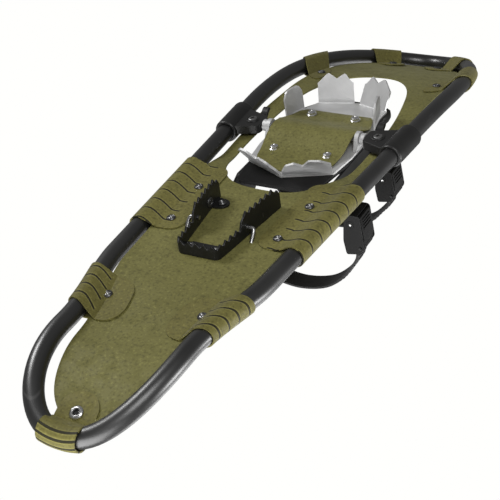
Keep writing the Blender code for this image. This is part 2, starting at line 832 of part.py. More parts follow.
def flat_plate(name, look, rows, half_width, bottom, thickness, columns):
    """Plate bounded by a half width at each row, following the toe-up bend."""
    verts, faces = [], []
    for level in (bottom, bottom + thickness):
        for y in rows:
            for j in range(columns + 1):
                x = half_width(y) * (2 * j / columns - 1)
                verts.append(Vector((x, y, level + bend(y))))
    block = len(rows) * (columns + 1)
    for level in (0, block):
        for i in range(len(rows) - 1):
            for j in range(columns):
                a = level + i * (columns + 1) + j
                faces.append((a, a + 1, a + columns + 2, a + columns + 1))
    for i in range(len(rows) - 1):
        for j in (0, columns):
            a = i * (columns + 1) + j
            b = a + columns + 1
            faces.append((a, b, block + b, block + a))
    for i in (0, len(rows) - 1):
        for j in range(columns):
            a = i * (columns + 1) + j
            faces.append((a, a + 1, block + a + 1, block + a))
    return weld_faces(name, verts, faces, look)


crampon_rows = [CHEVRON_REAR, CHEVRON_REAR_SIDE, -40 * MM, -86 * MM, -97 * MM, BEND_START]
crampon_rows += [-124 * MM, CHEVRON_FRONT_SIDE, CHEVRON_FRONT]
crampon = flat_plate(
    "crampon", ALLOY_LOOK, crampon_rows, crampon_half_width, PLATE_BOTTOM, PLATE_THICK, 2
)


def add_teeth(target, start, end, lean, outline, root_z, kinks=()):
    """Union a folded-down row of teeth along the line from start to end.

    outline holds (share along, drop) pairs; lean is how far the points move outward per metre of drop.
    """
    along = Vector((end[0] - start[0], end[1] - start[1], 0))
    length = along.length
    along.normalize()
    outward = along.cross(Vector((0, 0, 1)))
    base = Vector((start[0], start[1], 0))

    def place(u, v, w):
        return base + along * u * length + outward * (lean * v + w) + Vector((0, 0, root_z(u) - v))

    points = [(0.0, 0.0)] + outline + [(1.0, 0.0)] + [(u, 0.0) for u in kinks]
    teeth = add_object("teeth", *prism(points, -PLATE_THICK, 0.0, place), None)
    combine(target, teeth, "UNION")


def plate_root(start, end):
    def height(u):
        y = start[1] + (end[1] - start[1]) * u
        return PLATE_BOTTOM + PLATE_THICK - 0.25 * MM + bend(y)

    return height


FRONT_POINTS = [
    (0.0, 17 * MM),
    (0.14, 28 * MM),
    (0.26, 28.5 * MM),
    (0.44, 20.5 * MM),
    (0.62, 28.5 * MM),
    (0.74, 28 * MM),
    (0.9, 17 * MM),
    (1.0, 8 * MM),
]
SIDE_POINT = [(0.0, 16 * MM), (0.34, 30 * MM), (0.66, 28 * MM), (1.0, 14 * MM)]
REAR_POINTS = [
    (0.0, 17 * MM),
    (0.22, 23.5 * MM),
    (0.38, 24 * MM),
    (0.56, 14 * MM),
    (0.72, 21 * MM),
    (0.86, 19 * MM),
    (1.0, 8 * MM),
]
for hand in (1, -1):
    inner_front = (hand * 2.5 * MM, CHEVRON_FRONT + 1.6 * MM)
    outer_front = (hand * 38.5 * MM, CHEVRON_FRONT_SIDE + 0.6 * MM)
    side_front = (hand * 43 * MM, -124 * MM)
    side_rear = (hand * 48.6 * MM, -97 * MM)
    rear_inner = (hand * 1.5 * MM, CHEVRON_REAR - 1.2 * MM)
    rear_outer = (hand * 45.5 * MM, CHEVRON_REAR_SIDE + 0.4 * MM)
    bend_share = (BEND_START - side_front[1]) / (side_rear[1] - side_front[1])
    edges = [
        (inner_front, outer_front, 0.5, FRONT_POINTS, ()),
        (side_front, side_rear, 0.05, SIDE_POINT, (bend_share,)),
        (rear_outer, rear_inner, 0.1, REAR_POINTS, ()),
    ]
    for start, end, lean, outline, kinks in edges:
        if hand < 0:
            start, end = end, start
            outline = [(1 - u, v) for u, v in reversed(outline)]
            kinks = tuple(1 - u for u in kinks)
        add_teeth(crampon, start, end, lean, outline, plate_root(start, end), kinks)
    low, high = (EAR_INNER, EAR_OUTER) if hand > 0 else (-EAR_OUTER, -EAR_INNER)
    ear_outline = [(PIVOT_Y + 10 * MM, PLATE_BOTTOM + 1 * MM), (PIVOT_Y - 10 * MM, PLATE_BOTTOM + 1 * MM)]
    ear_outline += arc((PIVOT_Y, PIVOT_Z), 7.5 * MM, 190, 350, 8)
    ear = add_object("ear", *prism(ear_outline, low, high, side), None)
    combine(crampon, ear, "UNION")

cross_bore = cylinder(
    "bore",
    None,
    ROD_RADIUS + GAP,
    Vector((-60 * MM, PIVOT_Y, PIVOT_Z)),
    Vector((60 * MM, PIVOT_Y, PIVOT_Z)),
    16,
)
combine(crampon, cross_bore, "DIFFERENCE")

# ---------------------------------------------------------------- cover strap round the rod
COVER_MIDDLE = PLATE_BOTTOM - GAP - COVER_THICK / 2
cover_path = [(-116 * MM, COVER_MIDDLE + bend(-116 * MM)), (BEND_START, COVER_MIDDLE)]
cover_path += [(-99 * MM, COVER_MIDDLE), (-86 * MM, COVER_MIDDLE)]
wrap_radius = ROD_RADIUS + GAP + COVER_THICK / 2 + 0.6 * MM
cover_path += arc((PIVOT_Y, PIVOT_Z), wrap_radius, 220, 320, 6)
cover_path += [(-38 * MM, COVER_MIDDLE), (-24 * MM, COVER_MIDDLE), (-9 * MM, COVER_MIDDLE)]
cover_path += [(4 * MM, COVER_MIDDLE)]


def cover_half_width(y):
    if y > -9 * MM:
        return 39 * MM - (y + 9 * MM) / (13 * MM) * 30 * MM
    if y > -50 * MM:
        return 39 * MM + 5 * MM * smooth_step((-12 * MM - y) / (30 * MM))
    if y < -90 * MM:
        return 39.5 * MM
    return 44 * MM


cover_grid = []
for y, z in cover_path:
    width = cover_half_width(y)
    cover_grid.append([Vector((width * (j - 1), y, z)) for j in range(3)])
cover = add_object("crampon_cover", *thick_sheet(cover_grid, COVER_THICK), DECK_LOOK)

# ---------------------------------------------------------------- foot plate
FOOT_REAR = 40 * MM
FOOT_FRONT = -176 * MM


def foot_half_width(y):
    corners = [
        (FOOT_REAR, 33 * MM),
        (32 * MM, 40 * MM),
        (0.0, 46 * MM),
        (-30 * MM, WING_OUTER),
        (-118 * MM, WING_OUTER),
        (-150 * MM, 44 * MM),
        (-168 * MM, 33 * MM),
        (FOOT_FRONT, 18 * MM),
    ]
    for (y0, x0), (y1, x1) in zip(corners, corners[1:]):
        if y0 >= y >= y1:
            return x0 + (x1 - x0) * (y0 - y) / (y0 - y1)
    return 0.0


foot_rows = [FOOT_REAR, 32 * MM, 0.0, -30 * MM, -70 * MM, BEND_START, -118 * MM, -150 * MM]
foot_rows += [-168 * MM, FOOT_FRONT]
foot_plate = flat_plate(
    "foot_plate", PLASTIC_LOOK, foot_rows, foot_half_width, FOOT_BOTTOM, FOOT_THICK, 2
)
# the boot's sole rests on a raised pad between the wings' flanges
SOLE_TOP = FOOT_TOP + 3.2 * MM
pad_low = Vector((-15.5 * MM, -104 * MM, FOOT_TOP - 0.5 * MM))
pad_high = Vector((15.5 * MM, 28 * MM, SOLE_TOP))
combine(foot_plate, box("sole_pad", None, pad_low, pad_high), "UNION")

# ---------------------------------------------------------------- binding wings
FLANGE_LOW = FOOT_TOP + GAP
FLANGE_TOP = FLANGE_LOW + WING_FLANGE
WING_REAR = 10 * MM
WING_FRONT = -110 * MM
TOE_STRAP_Y = -92 * MM
INSTEP_STRAP_Y = -4 * MM
HEEL_PIVOT_Y = 23 * MM
HEEL_PIVOT_Z = 30 * MM
STRAP_FOOT_Z = 29 * MM

binding_rivets = []
for hand, side_name in ((1, "right"), (-1, "left")):
    binding_rivets.append((f"crampon_rivet_front_{side_name}", hand * 24.5 * MM, -106 * MM))
    binding_rivets.append((f"crampon_rivet_rear_{side_name}", hand * 29 * MM, -31 * MM))

for hand, side_name in ((1, "right"), (-1, "left")):
    wall = [(WING_FRONT, FLANGE_LOW), (WING_REAR, FLANGE_LOW), (30 * MM, 22 * MM)]
    wall += arc((HEEL_PIVOT_Y, HEEL_PIVOT_Z), 9 * MM, -10, 120, 5)
    wall += [(12 * MM, 36 * MM)]
    wall += [(8 * MM, 44 * MM), (-16 * MM, 44 * MM), (-27 * MM, 30 * MM), (-66 * MM, 27 * MM)]
    wall += [(-79 * MM, 42 * MM), (-105 * MM, 42 * MM), (-112 * MM, 28 * MM)]
    low, high = (WING_INNER, WING_OUTER) if hand > 0 else (-WING_OUTER, -WING_INNER)
    wing = add_object(f"binding_wing_{side_name}", *prism(wall, low, high, side), PLASTIC_LOOK)
    flange = [(17 * MM, -36 * MM), (17 * MM, -102 * MM), (22 * MM, WING_FRONT)]
    flange += [(48.5 * MM, WING_FRONT), (48.5 * MM, WING_REAR - 34 * MM), (47.9 * MM, WING_REAR - 30 * MM)]
    flange += [(24 * MM, -22 * MM)]
    flange = [(hand * x, y) for x, y in flange]
    foot = add_object("flange", *prism(flange, FLANGE_LOW, FLANGE_TOP, plan), None)
    combine(wing, foot, "UNION")
    for y in (TOE_STRAP_Y, INSTEP_STRAP_Y):
        spot = Vector((hand * 44 * MM, y, STRAP_FOOT_Z))
        end = Vector((hand * 54 * MM, y, STRAP_FOOT_Z))
        combine(wing, cylinder("hole", None, RIVET_SHANK + GAP, spot, end), "DIFFERENCE")
    spot = Vector((hand * 44 * MM, HEEL_PIVOT_Y, HEEL_PIVOT_Z))
    end = Vector((hand * 54 * MM, HEEL_PIVOT_Y, HEEL_PIVOT_Z))
    combine(wing, cylinder("hole", None, 2.2 * MM + GAP, spot, end, 16), "DIFFERENCE")

wings = {1: bpy.data.objects["binding_wing_right"], -1: bpy.data.objects["binding_wing_left"]}
for rivet_name, x, y in binding_rivets:
    place = Matrix.Translation(Vector((x, y, 0)))
    hand = 1 if x > 0 else -1
    for target in (cover, crampon, foot_plate, wings[hand]):
        cutter = hole_cutter(place, RIVET_SHANK + GAP, COVER_MIDDLE - 4 * MM, FLANGE_TOP + 3 * MM)
        combine(target, cutter, "DIFFERENCE")
    bottom = COVER_MIDDLE - COVER_THICK / 2 - 0.1 * MM
    profile = rivet_profile(bottom, FLANGE_TOP + 0.1 * MM, 4.6 * MM, 2.2 * MM, 4 * MM)
    closed_turn(rivet_name, ALLOY_LOOK, profile, place)

# ---------------------------------------------------------------- ladder straps and ratchet buckles
STRAP_HALF = 10.5 * MM
STRAP_THICK = 2.2 * MM
STRAP_X = WING_OUTER + 2 * GAP + STRAP_THICK / 2
BUCKLE_THICK = 2.4 * MM


def curve_through(points, steps):
    """Smooth curve through points, with steps points between each pair."""
    result = []
    ends = [points[0]] + points + [points[-1]]
    for i in range(1, len(ends) - 2):
        p0, p1, p2, p3 = ends[i - 1], ends[i], ends[i + 1], ends[i + 2]
        for k in range(steps):
            t = k / steps
            row = []
            for a, b, c, d in zip(p0, p1, p2, p3):
                value = 2 * b + (c - a) * t + (2 * a - 5 * b + 4 * c - d) * t**2
                value += (3 * b - a - 3 * c + d) * t**3
                row.append(value / 2)
            result.append(tuple(row))
    result.append(tuple(points[-1]))
    return result


def band(name, look, path, across, thickness):
    """Flat strap along a list of points; across is its half-width direction."""
    grid = []
    for point in path:
        grid.append([point - across, point, point + across])
    return add_object(name, *thick_sheet(grid, thickness), look)


PINS = {}  # pin centre of each buckle lever


def build_strap_set(prefix, y, base_line, loop_line, tongue):
    """Buckle base, lever, pin, ladder strap and rivets of one strap across the boot.

    base_line and loop_line are (x, z) points: the buckle base from its foot to its top, and half
    of the strap's loop from the left foot to the crest. tongue is the lever's length.
    """
    across = Vector((0, 1, 0))
    rise = Vector((0, 0, 1))
    out = Vector((1, 0, 0))
    path = [Vector((x, y, z)) for x, z in base_line]
    top = path[-1]

    # buckle base: flat band with two cheeks that carry the lever pin
    base = band(f"{prefix}_buckle_base", PLASTIC_LOOK, path, across * 14.2 * MM, BUCKLE_THICK)
    pin = top - rise * 8 * MM + out * 8.2 * MM
    PINS[prefix] = pin
    cheek_outline = [(-24 * MM, -0.6 * MM), (1 * MM, -0.6 * MM), (1 * MM, 6 * MM), (-4 * MM, 11.6 * MM)]
    cheek_outline += [(-12 * MM, 11.6 * MM), (-24 * MM, 3.4 * MM)]

    def cheek_place(u, v, w):
        return top + rise * u + out * v + across * w

    for hand in (1, -1):
        low, high = (12 * MM, 14 * MM) if hand > 0 else (-14 * MM, -12 * MM)
        cheek = add_object("cheek", *prism(cheek_outline, low, high, cheek_place), None)
        combine(base, cheek, "UNION")
    pin_bore = cylinder("bore", None, 1.5 * MM + GAP, pin - across * 20 * MM, pin + across * 20 * MM)
    combine(base, pin_bore, "DIFFERENCE")
    rivet_start = Vector((40 * MM, y, STRAP_FOOT_Z))
    rivet_end = Vector((70 * MM, y, STRAP_FOOT_Z))
    rivet_hole = cylinder("hole", None, RIVET_SHANK + GAP, rivet_start, rivet_end)
    combine(base, rivet_hole, "DIFFERENCE")

    cylinder(
        f"{prefix}_lever_pin", STEEL_LOOK, 1.5 * MM, pin - across * 14.3 * MM, pin + across * 14.3 * MM
    )

    # lever: barrel round the pin with a tongue lying down the strap
    def lever_place(u, v, w):
        return pin + rise * u + out * v + across * w

    lever_outline = arc((0, 0), 4 * MM, 200, -60, 8)
    lever_outline += [(-12 * MM, -2.2 * MM), (7 * MM - tongue, 1.2 * MM), (-tongue, 4.6 * MM)]
    lever_outline += [(-0.6 * MM - tongue, 6.8 * MM), (7 * MM - tongue, 4.4 * MM), (-12 * MM, 2.6 * MM)]
    lever = add_object(
        f"{prefix}_buckle_lever",
        *prism(lever_outline, -11.4 * MM, 11.4 * MM, lever_place),
        PLASTIC_LOOK,
    )
    lever_bore = cylinder("bore", None, 1.5 * MM + GAP, pin - across * 20 * MM, pin + across * 20 * MM)
    combine(lever, lever_bore, "DIFFERENCE")

    # ladder strap: from the left wing, over the boot, through the buckle
    channel = top.x + 2.9 * MM
    key = list(loop_line)
    key += [(-x, z) for x, z in reversed(loop_line[6:-1])]
    key += [(channel - 0.5 * MM, top.z + 5 * MM), (channel, top.z - 6 * MM)]
    key += [(channel, top.z - 16 * MM), (channel + 0.6 * MM, top.z - tongue - 6 * MM)]
    path = [Vector((x, y, z)) for x, z in curve_through(key, 2)]
    strap = band(f"{prefix}_ladder_strap", STRAP_LOOK, path, across * STRAP_HALF, STRAP_THICK)
    left_start = Vector((-40 * MM, y, STRAP_FOOT_Z))
    left_end = Vector((-70 * MM, y, STRAP_FOOT_Z))
    left_hole = cylinder("hole", None, RIVET_SHANK + GAP, left_start, left_end)
    combine(strap, left_hole, "DIFFERENCE")

    # the rivets that hold the strap and the buckle to the wings
    for hand, side_name, outer_thick in ((1, "right", BUCKLE_THICK), (-1, "left", STRAP_THICK)):
        place = Matrix.Translation(Vector((0, y, STRAP_FOOT_Z)))
        place = place @ Matrix.Rotation(math.pi / 2 * hand, 4, "Y")
        inner = WING_INNER - 0.1 * MM
        outer = WING_OUTER + 2 * GAP + outer_thick + 0.3 * MM
        profile = [
            (2.6 * MM, inner - 0.8 * MM),
            (3.2 * MM, inner),
            (RIVET_SHANK, inner),
            (RIVET_SHANK, outer),
            (4 * MM, outer),
            (3.4 * MM, outer + 1.1 * MM),
            (1.8 * MM, outer + 1.6 * MM),
        ]
        closed_turn(f"{prefix}_strap_rivet_{side_name}", DARK_RIVET_LOOK, profile, place)


BUCKLE_X = WING_OUTER + GAP + BUCKLE_THICK / 2
FOOT_LINE = [(BUCKLE_X, 22 * MM), (BUCKLE_X, 37 * MM)]
LOOP_FOOT = [(-STRAP_X, 21 * MM), (-STRAP_X, 35 * MM), (-54 * MM, 43 * MM)]
TOE_LOOP = [(-62 * MM, 50 * MM), (-69 * MM, 60 * MM), (-68 * MM, 74 * MM), (-58 * MM, 92 * MM)]
TOE_LOOP += [(-43 * MM, 108 * MM), (-24 * MM, 117 * MM), (0.0, 120 * MM)]
INSTEP_LOOP = [(-68 * MM, 50 * MM), (-75 * MM, 60 * MM), (-73.5 * MM, 78 * MM), (-64 * MM, 101 * MM)]
INSTEP_LOOP += [(-50 * MM, 120 * MM), (-30 * MM, 134 * MM), (0.0, 140 * MM)]
build_strap_set(
    "toe",
    TOE_STRAP_Y,
    FOOT_LINE + [(58 * MM, 47 * MM), (63 * MM, 58 * MM), (63 * MM, 78 * MM)],
    LOOP_FOOT + TOE_LOOP,
    26 * MM,
)
build_strap_set(
    "instep",
    INSTEP_STRAP_Y,
    FOOT_LINE + [(60 * MM, 47 * MM), (68 * MM, 60 * MM), (68 * MM, 84 * MM)],
    LOOP_FOOT + INSTEP_LOOP,
    34 * MM,
)

# ---------------------------------------------------------------- heel strap
HEEL_X = WING_OUTER + GAP + STRAP_THICK / 2
heel_key = [
    (HEEL_X, HEEL_PIVOT_Y - 6.5 * MM, HEEL_PIVOT_Z),
    (HEEL_X, HEEL_PIVOT_Y + 9 * MM, HEEL_PIVOT_Z),
    (HEEL_X - 1 * MM, 55 * MM, HEEL_PIVOT_Z + 2 * MM),
    (42 * MM, 88 * MM, HEEL_PIVOT_Z + 5 * MM),
    (22 * MM, 106 * MM, HEEL_PIVOT_Z + 7 * MM),
]
heel_line = heel_key + [(0.0, 111 * MM, HEEL_PIVOT_Z + 8 * MM)]
heel_line += [(-x, y, z) for x, y, z in reversed(heel_key)]
heel_path = [Vector(p) for p in curve_through(heel_line, 2)]
heel_strap = band("heel_strap", STRAP_LOOK, heel_path, Vector((0, 0, 9 * MM)), STRAP_THICK)
for hand, side_name in ((1, "right"), (-1, "left")):
    start = Vector((hand * 40 * MM, HEEL_PIVOT_Y, HEEL_PIVOT_Z))
    end = Vector((hand * 70 * MM, HEEL_PIVOT_Y, HEEL_PIVOT_Z))
    combine(heel_strap, cylinder("bore", None, 2.2 * MM + GAP, start, end, 16), "DIFFERENCE")
    place = Matrix.Translation(Vector((0, HEEL_PIVOT_Y, HEEL_PIVOT_Z)))
    place = place @ Matrix.Rotation(math.pi / 2 * hand, 4, "Y")
    inner = WING_INNER - 0.1 * MM
    outer = WING_OUTER + GAP + STRAP_THICK + 0.3 * MM
    profile = [
        (3.4 * MM, inner - 1 * MM),
        (3.8 * MM, inner),
        (2.2 * MM, inner),
        (2.2 * MM, outer),
        (4.6 * MM, outer),
        (4 * MM, outer + 1.2 * MM),
        (2 * MM, outer + 1.7 * MM),
    ]
    closed_turn(f"heel_pivot_{side_name}", DARK_RIVET_LOOK, profile, place, 16)

# slide buckle: a sleeve round the heel strap on the right
BUCKLE_Y0, BUCKLE_Y1 = 36 * MM, 52 * MM
strap_z = HEEL_PIVOT_Z + 1 * MM
outer_outline = [(HEEL_X - 4.2 * MM, strap_z - 12.4 * MM), (HEEL_X + 4 * MM, strap_z - 12.4 * MM)]
outer_outline += [(HEEL_X + 4 * MM, strap_z + 12.4 * MM), (HEEL_X - 4.2 * MM, strap_z + 12.4 * MM)]


def sleeve_place(u, v, w):
    return Vector((u, w, v))


heel_buckle = add_object(
    "heel_buckle", *prism(outer_outline, BUCKLE_Y0, BUCKLE_Y1, sleeve_place), PLASTIC_LOOK
)
window = box(
    "window",
    None,
    (HEEL_X - 2.2 * MM, BUCKLE_Y0 - 2 * MM, strap_z - 10.2 * MM),
    (HEEL_X + 1.9 * MM, BUCKLE_Y1 + 2 * MM, strap_z + 10.6 * MM),
)
combine(heel_buckle, window, "DIFFERENCE")

# ---------------------------------------------------------------- heel cleat
CLEAT_TOP = -DECK_THICK / 2 - 0.15 * MM
CLEAT_FOOT = 2 * MM


def cleat_half(y):
    share = (CLEAT_REAR - y) / (CLEAT_REAR - CLEAT_FRONT)
    return CLEAT_REAR_HALF + (CLEAT_FRONT_HALF - CLEAT_REAR_HALF) * share


def cleat_drop(y):
    ramp = smooth_step((CLEAT_STEP - y) / (8 * MM))
    nose = smooth_step((CLEAT_FRONT + 12 * MM - y) / (14 * MM))
    return CLEAT_LOW + (CLEAT_TALL - CLEAT_LOW) * ramp - 7 * MM * nose


def cleat_path():
    """Right-hand path points with their drop, from the front of the arm to the rear centre."""
    pitch = 6 * MM
    tooth = 2.4 * MM
    points = []
    steps = round((CLEAT_REAR - CLEAT_FRONT - 4 * MM) / pitch) * 2
    for i in range(steps + 1):
        y = CLEAT_FRONT + (CLEAT_REAR - 4 * MM - CLEAT_FRONT) * i / steps
        points.append((cleat_half(y), y, cleat_drop(y) - (tooth if i % 2 else 0.0)))
    points.append((CLEAT_REAR_HALF - 3 * MM, CLEAT_REAR, CLEAT_LOW))
    for i in range(1, 6):
        x = (CLEAT_REAR_HALF - 3 * MM) * (1 - i / 5)
        points.append((x, CLEAT_REAR, CLEAT_LOW - (tooth if i % 2 else 0.0)))
    return points


right_path = cleat_path()
full_path = right_path + [(-x, y, d) for x, y, d in reversed(right_path[:-1])]
rings = []
for i, (x, y, drop) in enumerate(full_path):
    before = full_path[max(i - 1, 0)]
    after = full_path[min(i + 1, len(full_path) - 1)]
    along = Vector((after[0] - before[0], after[1] - before[1], 0)).normalized()
    outward = Vector((along.y, -along.x, 0)) * CLEAT_THICK / 2
    base = Vector((x, y, CLEAT_TOP))
    tip = Vector((x, y, -drop))
    rings.append([base - outward, base + outward, tip + outward, tip - outward])
cleat = add_object("heel_cleat", *loft(rings), BLACK_STEEL_LOOK)

cleat_rivets = []
for hand, side_name in ((1, "right"), (-1, "left")):
    front_rivet = (hand * 21.5 * MM, 85 * MM)
    rear_rivet = (hand * 12.5 * MM, 155.5 * MM)
    cleat_rivets.append((f"cleat_rivet_front_{side_name}", *front_rivet))
    cleat_rivets.append((f"cleat_rivet_rear_{side_name}", *rear_rivet))
    front_foot = [(hand * cleat_half(76 * MM), 76 * MM), (hand * 24 * MM, 77 * MM)]
    tongue = arc(front_rivet, 7 * MM, -60, -250, 7)
    if hand < 0:
        tongue = [(-x, y) for x, y in arc((-front_rivet[0], front_rivet[1]), 7 * MM, -60, -250, 7)]
    front_foot += [p for p in tongue if abs(p[0]) < 24 * MM]
    front_foot += [(hand * cleat_half(94 * MM), 94 * MM)]
    foot = add_object("foot", *prism(front_foot, CLEAT_TOP - CLEAT_FOOT, CLEAT_TOP - 0.02 * MM, plan), None)
    combine(cleat, foot, "UNION")
rear_half = [(CLEAT_REAR_HALF - 3 * MM, CLEAT_REAR - 0.3 * MM)]
rear_half += [(cleat_half(160.5 * MM), 160.5 * MM), (cleat_half(152 * MM), 152 * MM), (14 * MM, 148 * MM)]
rear_foot = rear_half + [(-x, y) for x, y in reversed(rear_half)]
foot = add_object("foot", *prism(rear_foot, CLEAT_TOP - CLEAT_FOOT, CLEAT_TOP - 0.02 * MM, plan), None)
combine(cleat, foot, "UNION")
for rivet_name, x, y in cleat_rivets:
    place = deck_place(x, y)
    for target in (cleat, deck):
        combine(target, hole_cutter(place, RIVET_SHANK + GAP, -5 * MM, 3 * MM), "DIFFERENCE")
    bottom = CLEAT_TOP - CLEAT_FOOT - 0.1 * MM
    profile = rivet_profile(bottom, DECK_THICK / 2 + 0.1 * MM, 4 * MM, 1.6 * MM, 3.6 * MM)
    closed_turn(rivet_name, DARK_RIVET_LOOK, profile, place)
lifter_bore = cylinder(
    "bore",
    None,
    WIRE_RADIUS + 0.4 * MM,
    Vector((-40 * MM, LIFTER_Y, LIFTER_Z)),
    Vector((40 * MM, LIFTER_Y, LIFTER_Z)),
    16,
)
combine(cleat, lifter_bore, "DIFFERENCE")

# ---------------------------------------------------------------- heel lifter wire
BAIL_REAR = 187 * MM
BAIL_Z = 5.2 * MM
half_wire = [
    (22.5 * MM, LIFTER_Y, LIFTER_Z),
    (29.6 * MM, LIFTER_Y, LIFTER_Z),
    (32.2 * MM, LIFTER_Y + 0.7 * MM, LIFTER_Z + 0.9 * MM),
    (LIFTER_HALF, LIFTER_Y + 3 * MM, LIFTER_Z + 3.6 * MM),
    (LIFTER_HALF, LIFTER_Y + 9 * MM, LIFTER_Z + 10.6 * MM),
    (LIFTER_HALF, LIFTER_Y + 13.5 * MM, BAIL_Z - 1.2 * MM),
    (LIFTER_HALF, LIFTER_Y + 19 * MM, BAIL_Z),
    (LIFTER_HALF, BAIL_REAR - 9 * MM, BAIL_Z),
    (LIFTER_HALF - 2.6 * MM, BAIL_REAR - 2.6 * MM, BAIL_Z),
    (LIFTER_HALF - 9 * MM, BAIL_REAR, BAIL_Z),
]
wire_points = half_wire + [(-x, y, z) for x, y, z in reversed(half_wire)]
wire_points = [Vector(p) for p in wire_points]


def wire_rings(points, radius, steps):
    rings = []
    normal = Vector((0, 0, 1))
    for i, point in enumerate(points):
        before, after = points[max(i - 1, 0)], points[min(i + 1, len(points) - 1)]
        along = (after - before).normalized()
        normal = (normal - along * normal.dot(along)).normalized()
        second = along.cross(normal)
        ring = []
        for k in range(steps):
            angle = 2 * math.pi * (k + 0.5) / steps
            ring.append(point + normal * radius * math.cos(angle) + second * radius * math.sin(angle))
        rings.append(ring)
    return rings


add_object("heel_lifter", *loft(wire_rings(wire_points, WIRE_RADIUS, 10)), STEEL_LOOK)

# ---------------------------------------------------------------- stand on the ground
GROUND = CLEAT_TALL
for part in bpy.data.objects:
    part.data.transform(Matrix.Translation(Vector((0, 0, GROUND))))


def set_origin(names, point):
    """Put the origin of each named piece on its joint axis."""
    shift = Vector(point) + Vector((0, 0, GROUND))
    for name in names:
        moved = bpy.data.objects[name]
        moved.data.transform(Matrix.Translation(-shift))
        moved.location = shift


set_origin(["heel_lifter"], (0, LIFTER_Y, LIFTER_Z))
set_origin(["heel_strap", "heel_buckle"], (0, HEEL_PIVOT_Y, HEEL_PIVOT_Z))
set_origin(["toe_buckle_lever"], PINS["toe"])
set_origin(["instep_buckle_lever"], PINS["instep"])
on_binding = ["crampon", "crampon_cover", "foot_plate", "binding_wing_right", "binding_wing_left"]
on_binding += [part.name for part in bpy.data.objects if part.name.startswith("crampon_rivet")]
for prefix in ("toe", "instep"):
    on_binding += [f"{prefix}_ladder_strap", f"{prefix}_buckle_base", f"{prefix}_lever_pin"]
    on_binding += [f"{prefix}_strap_rivet_right", f"{prefix}_strap_rivet_left"]
on_binding += ["heel_pivot_right", "heel_pivot_left"]
set_origin(on_binding, (0, PIVOT_Y, PIVOT_Z))

# ---------------------------------------------------------------- drop what nothing uses
for mesh in list(bpy.data.meshes):
    if not mesh.users:
        bpy.data.meshes.remove(mesh)
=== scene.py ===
"""Looks of the snowshoe: smooth tube, olive deck wrapped round it, crampon, binding and light.

Shapes are drawn in millimetres, with heights from the tube's middle plane, as the part was drawn.
piece() turns them into metres and lifts them by GROUND, which comes from the joints. The camera,
the lights and the floor are in metres.
"""

import json
import math
from bisect import bisect_right

import bmesh
import bpy
from mathutils import Matrix, Vector, noise


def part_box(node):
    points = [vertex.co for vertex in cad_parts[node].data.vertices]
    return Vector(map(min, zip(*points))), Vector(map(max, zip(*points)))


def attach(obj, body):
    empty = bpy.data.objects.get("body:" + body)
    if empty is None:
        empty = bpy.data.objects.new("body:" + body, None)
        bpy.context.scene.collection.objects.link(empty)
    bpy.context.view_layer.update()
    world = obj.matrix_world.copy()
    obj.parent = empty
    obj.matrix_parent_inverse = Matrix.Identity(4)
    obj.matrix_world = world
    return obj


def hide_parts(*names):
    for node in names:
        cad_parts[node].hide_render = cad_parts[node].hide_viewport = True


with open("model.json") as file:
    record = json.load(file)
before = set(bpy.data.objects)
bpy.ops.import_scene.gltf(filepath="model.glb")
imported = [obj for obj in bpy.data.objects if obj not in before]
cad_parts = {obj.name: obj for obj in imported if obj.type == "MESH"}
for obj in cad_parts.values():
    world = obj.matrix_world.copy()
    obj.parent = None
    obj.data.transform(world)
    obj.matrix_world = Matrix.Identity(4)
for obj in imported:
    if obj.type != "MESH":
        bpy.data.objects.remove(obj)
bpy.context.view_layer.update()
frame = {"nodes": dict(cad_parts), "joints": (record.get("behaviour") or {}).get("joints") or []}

MM = 0.001
SIDES = ((1, "right"), (-1, "left"))
QUARTER = math.pi / 2
UP = Vector((0, 0, 1))
JOINTS = {joint["name"]: Vector(joint["pos_m"]) / MM for joint in frame["joints"]}

# ---- driving sizes
PIVOT_Y = JOINTS["binding_pivot"].y
PIVOT_Z = -2
GROUND = JOINTS["binding_pivot"].z - PIVOT_Z
LIFT = Vector((0, 0, GROUND))


def cad_box(node):
    """Low and high corner of a CAD node, in the units and heights of this drawing."""
    return [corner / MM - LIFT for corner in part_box(node)]


TUBE_RADIUS = 8.5
GAP = 0.3
cad_low, cad_high = cad_box("frame_tube")
HALF_LENGTH = (cad_high.y - cad_low.y) / 2 - TUBE_RADIUS
TAIL_HALF_WIDTH = 58.4
TAIL_LENGTH = 90.4
TAIL_POWER = 2.19
TAIL_START = HALF_LENGTH - TAIL_LENGTH
TOE_LENGTH = 197
TOE_START = TOE_LENGTH - HALF_LENGTH
BODY_LENGTH = TAIL_START - TOE_START
BODY_TAIL_HALF_WIDTH = 69.2
BODY_FLARE = 29
SHOULDER_SHARE = 0.22
SOFT_SHARE = 0.15
TOE_LIFT_START = -103
TOE_LIFT_RADIUS = 585
TAIL_LIFT_RADIUS = 168

DECK_THICK = 1.4
FLAP_THICK = 1.2
FLAP_CLEAR = 0.45
FLAP_ROOT = 3  # how far a flap starts inside the deck's edge
FLAP_LANDING = 9.5  # how far past the tube a flap meets the underside of the deck
TAB_LANDING = 5
FLAP_SHORTEST = 2.5
DECK_RISE = 7.5
DECK_TOE_RISE = 5
DECK_TIP_SLOPE = 2.5 / 150
DECK_TIP_START = -210
DECK_TAIL_RISE = 7  # the tail of the deck is drawn a little towards the top of the tube
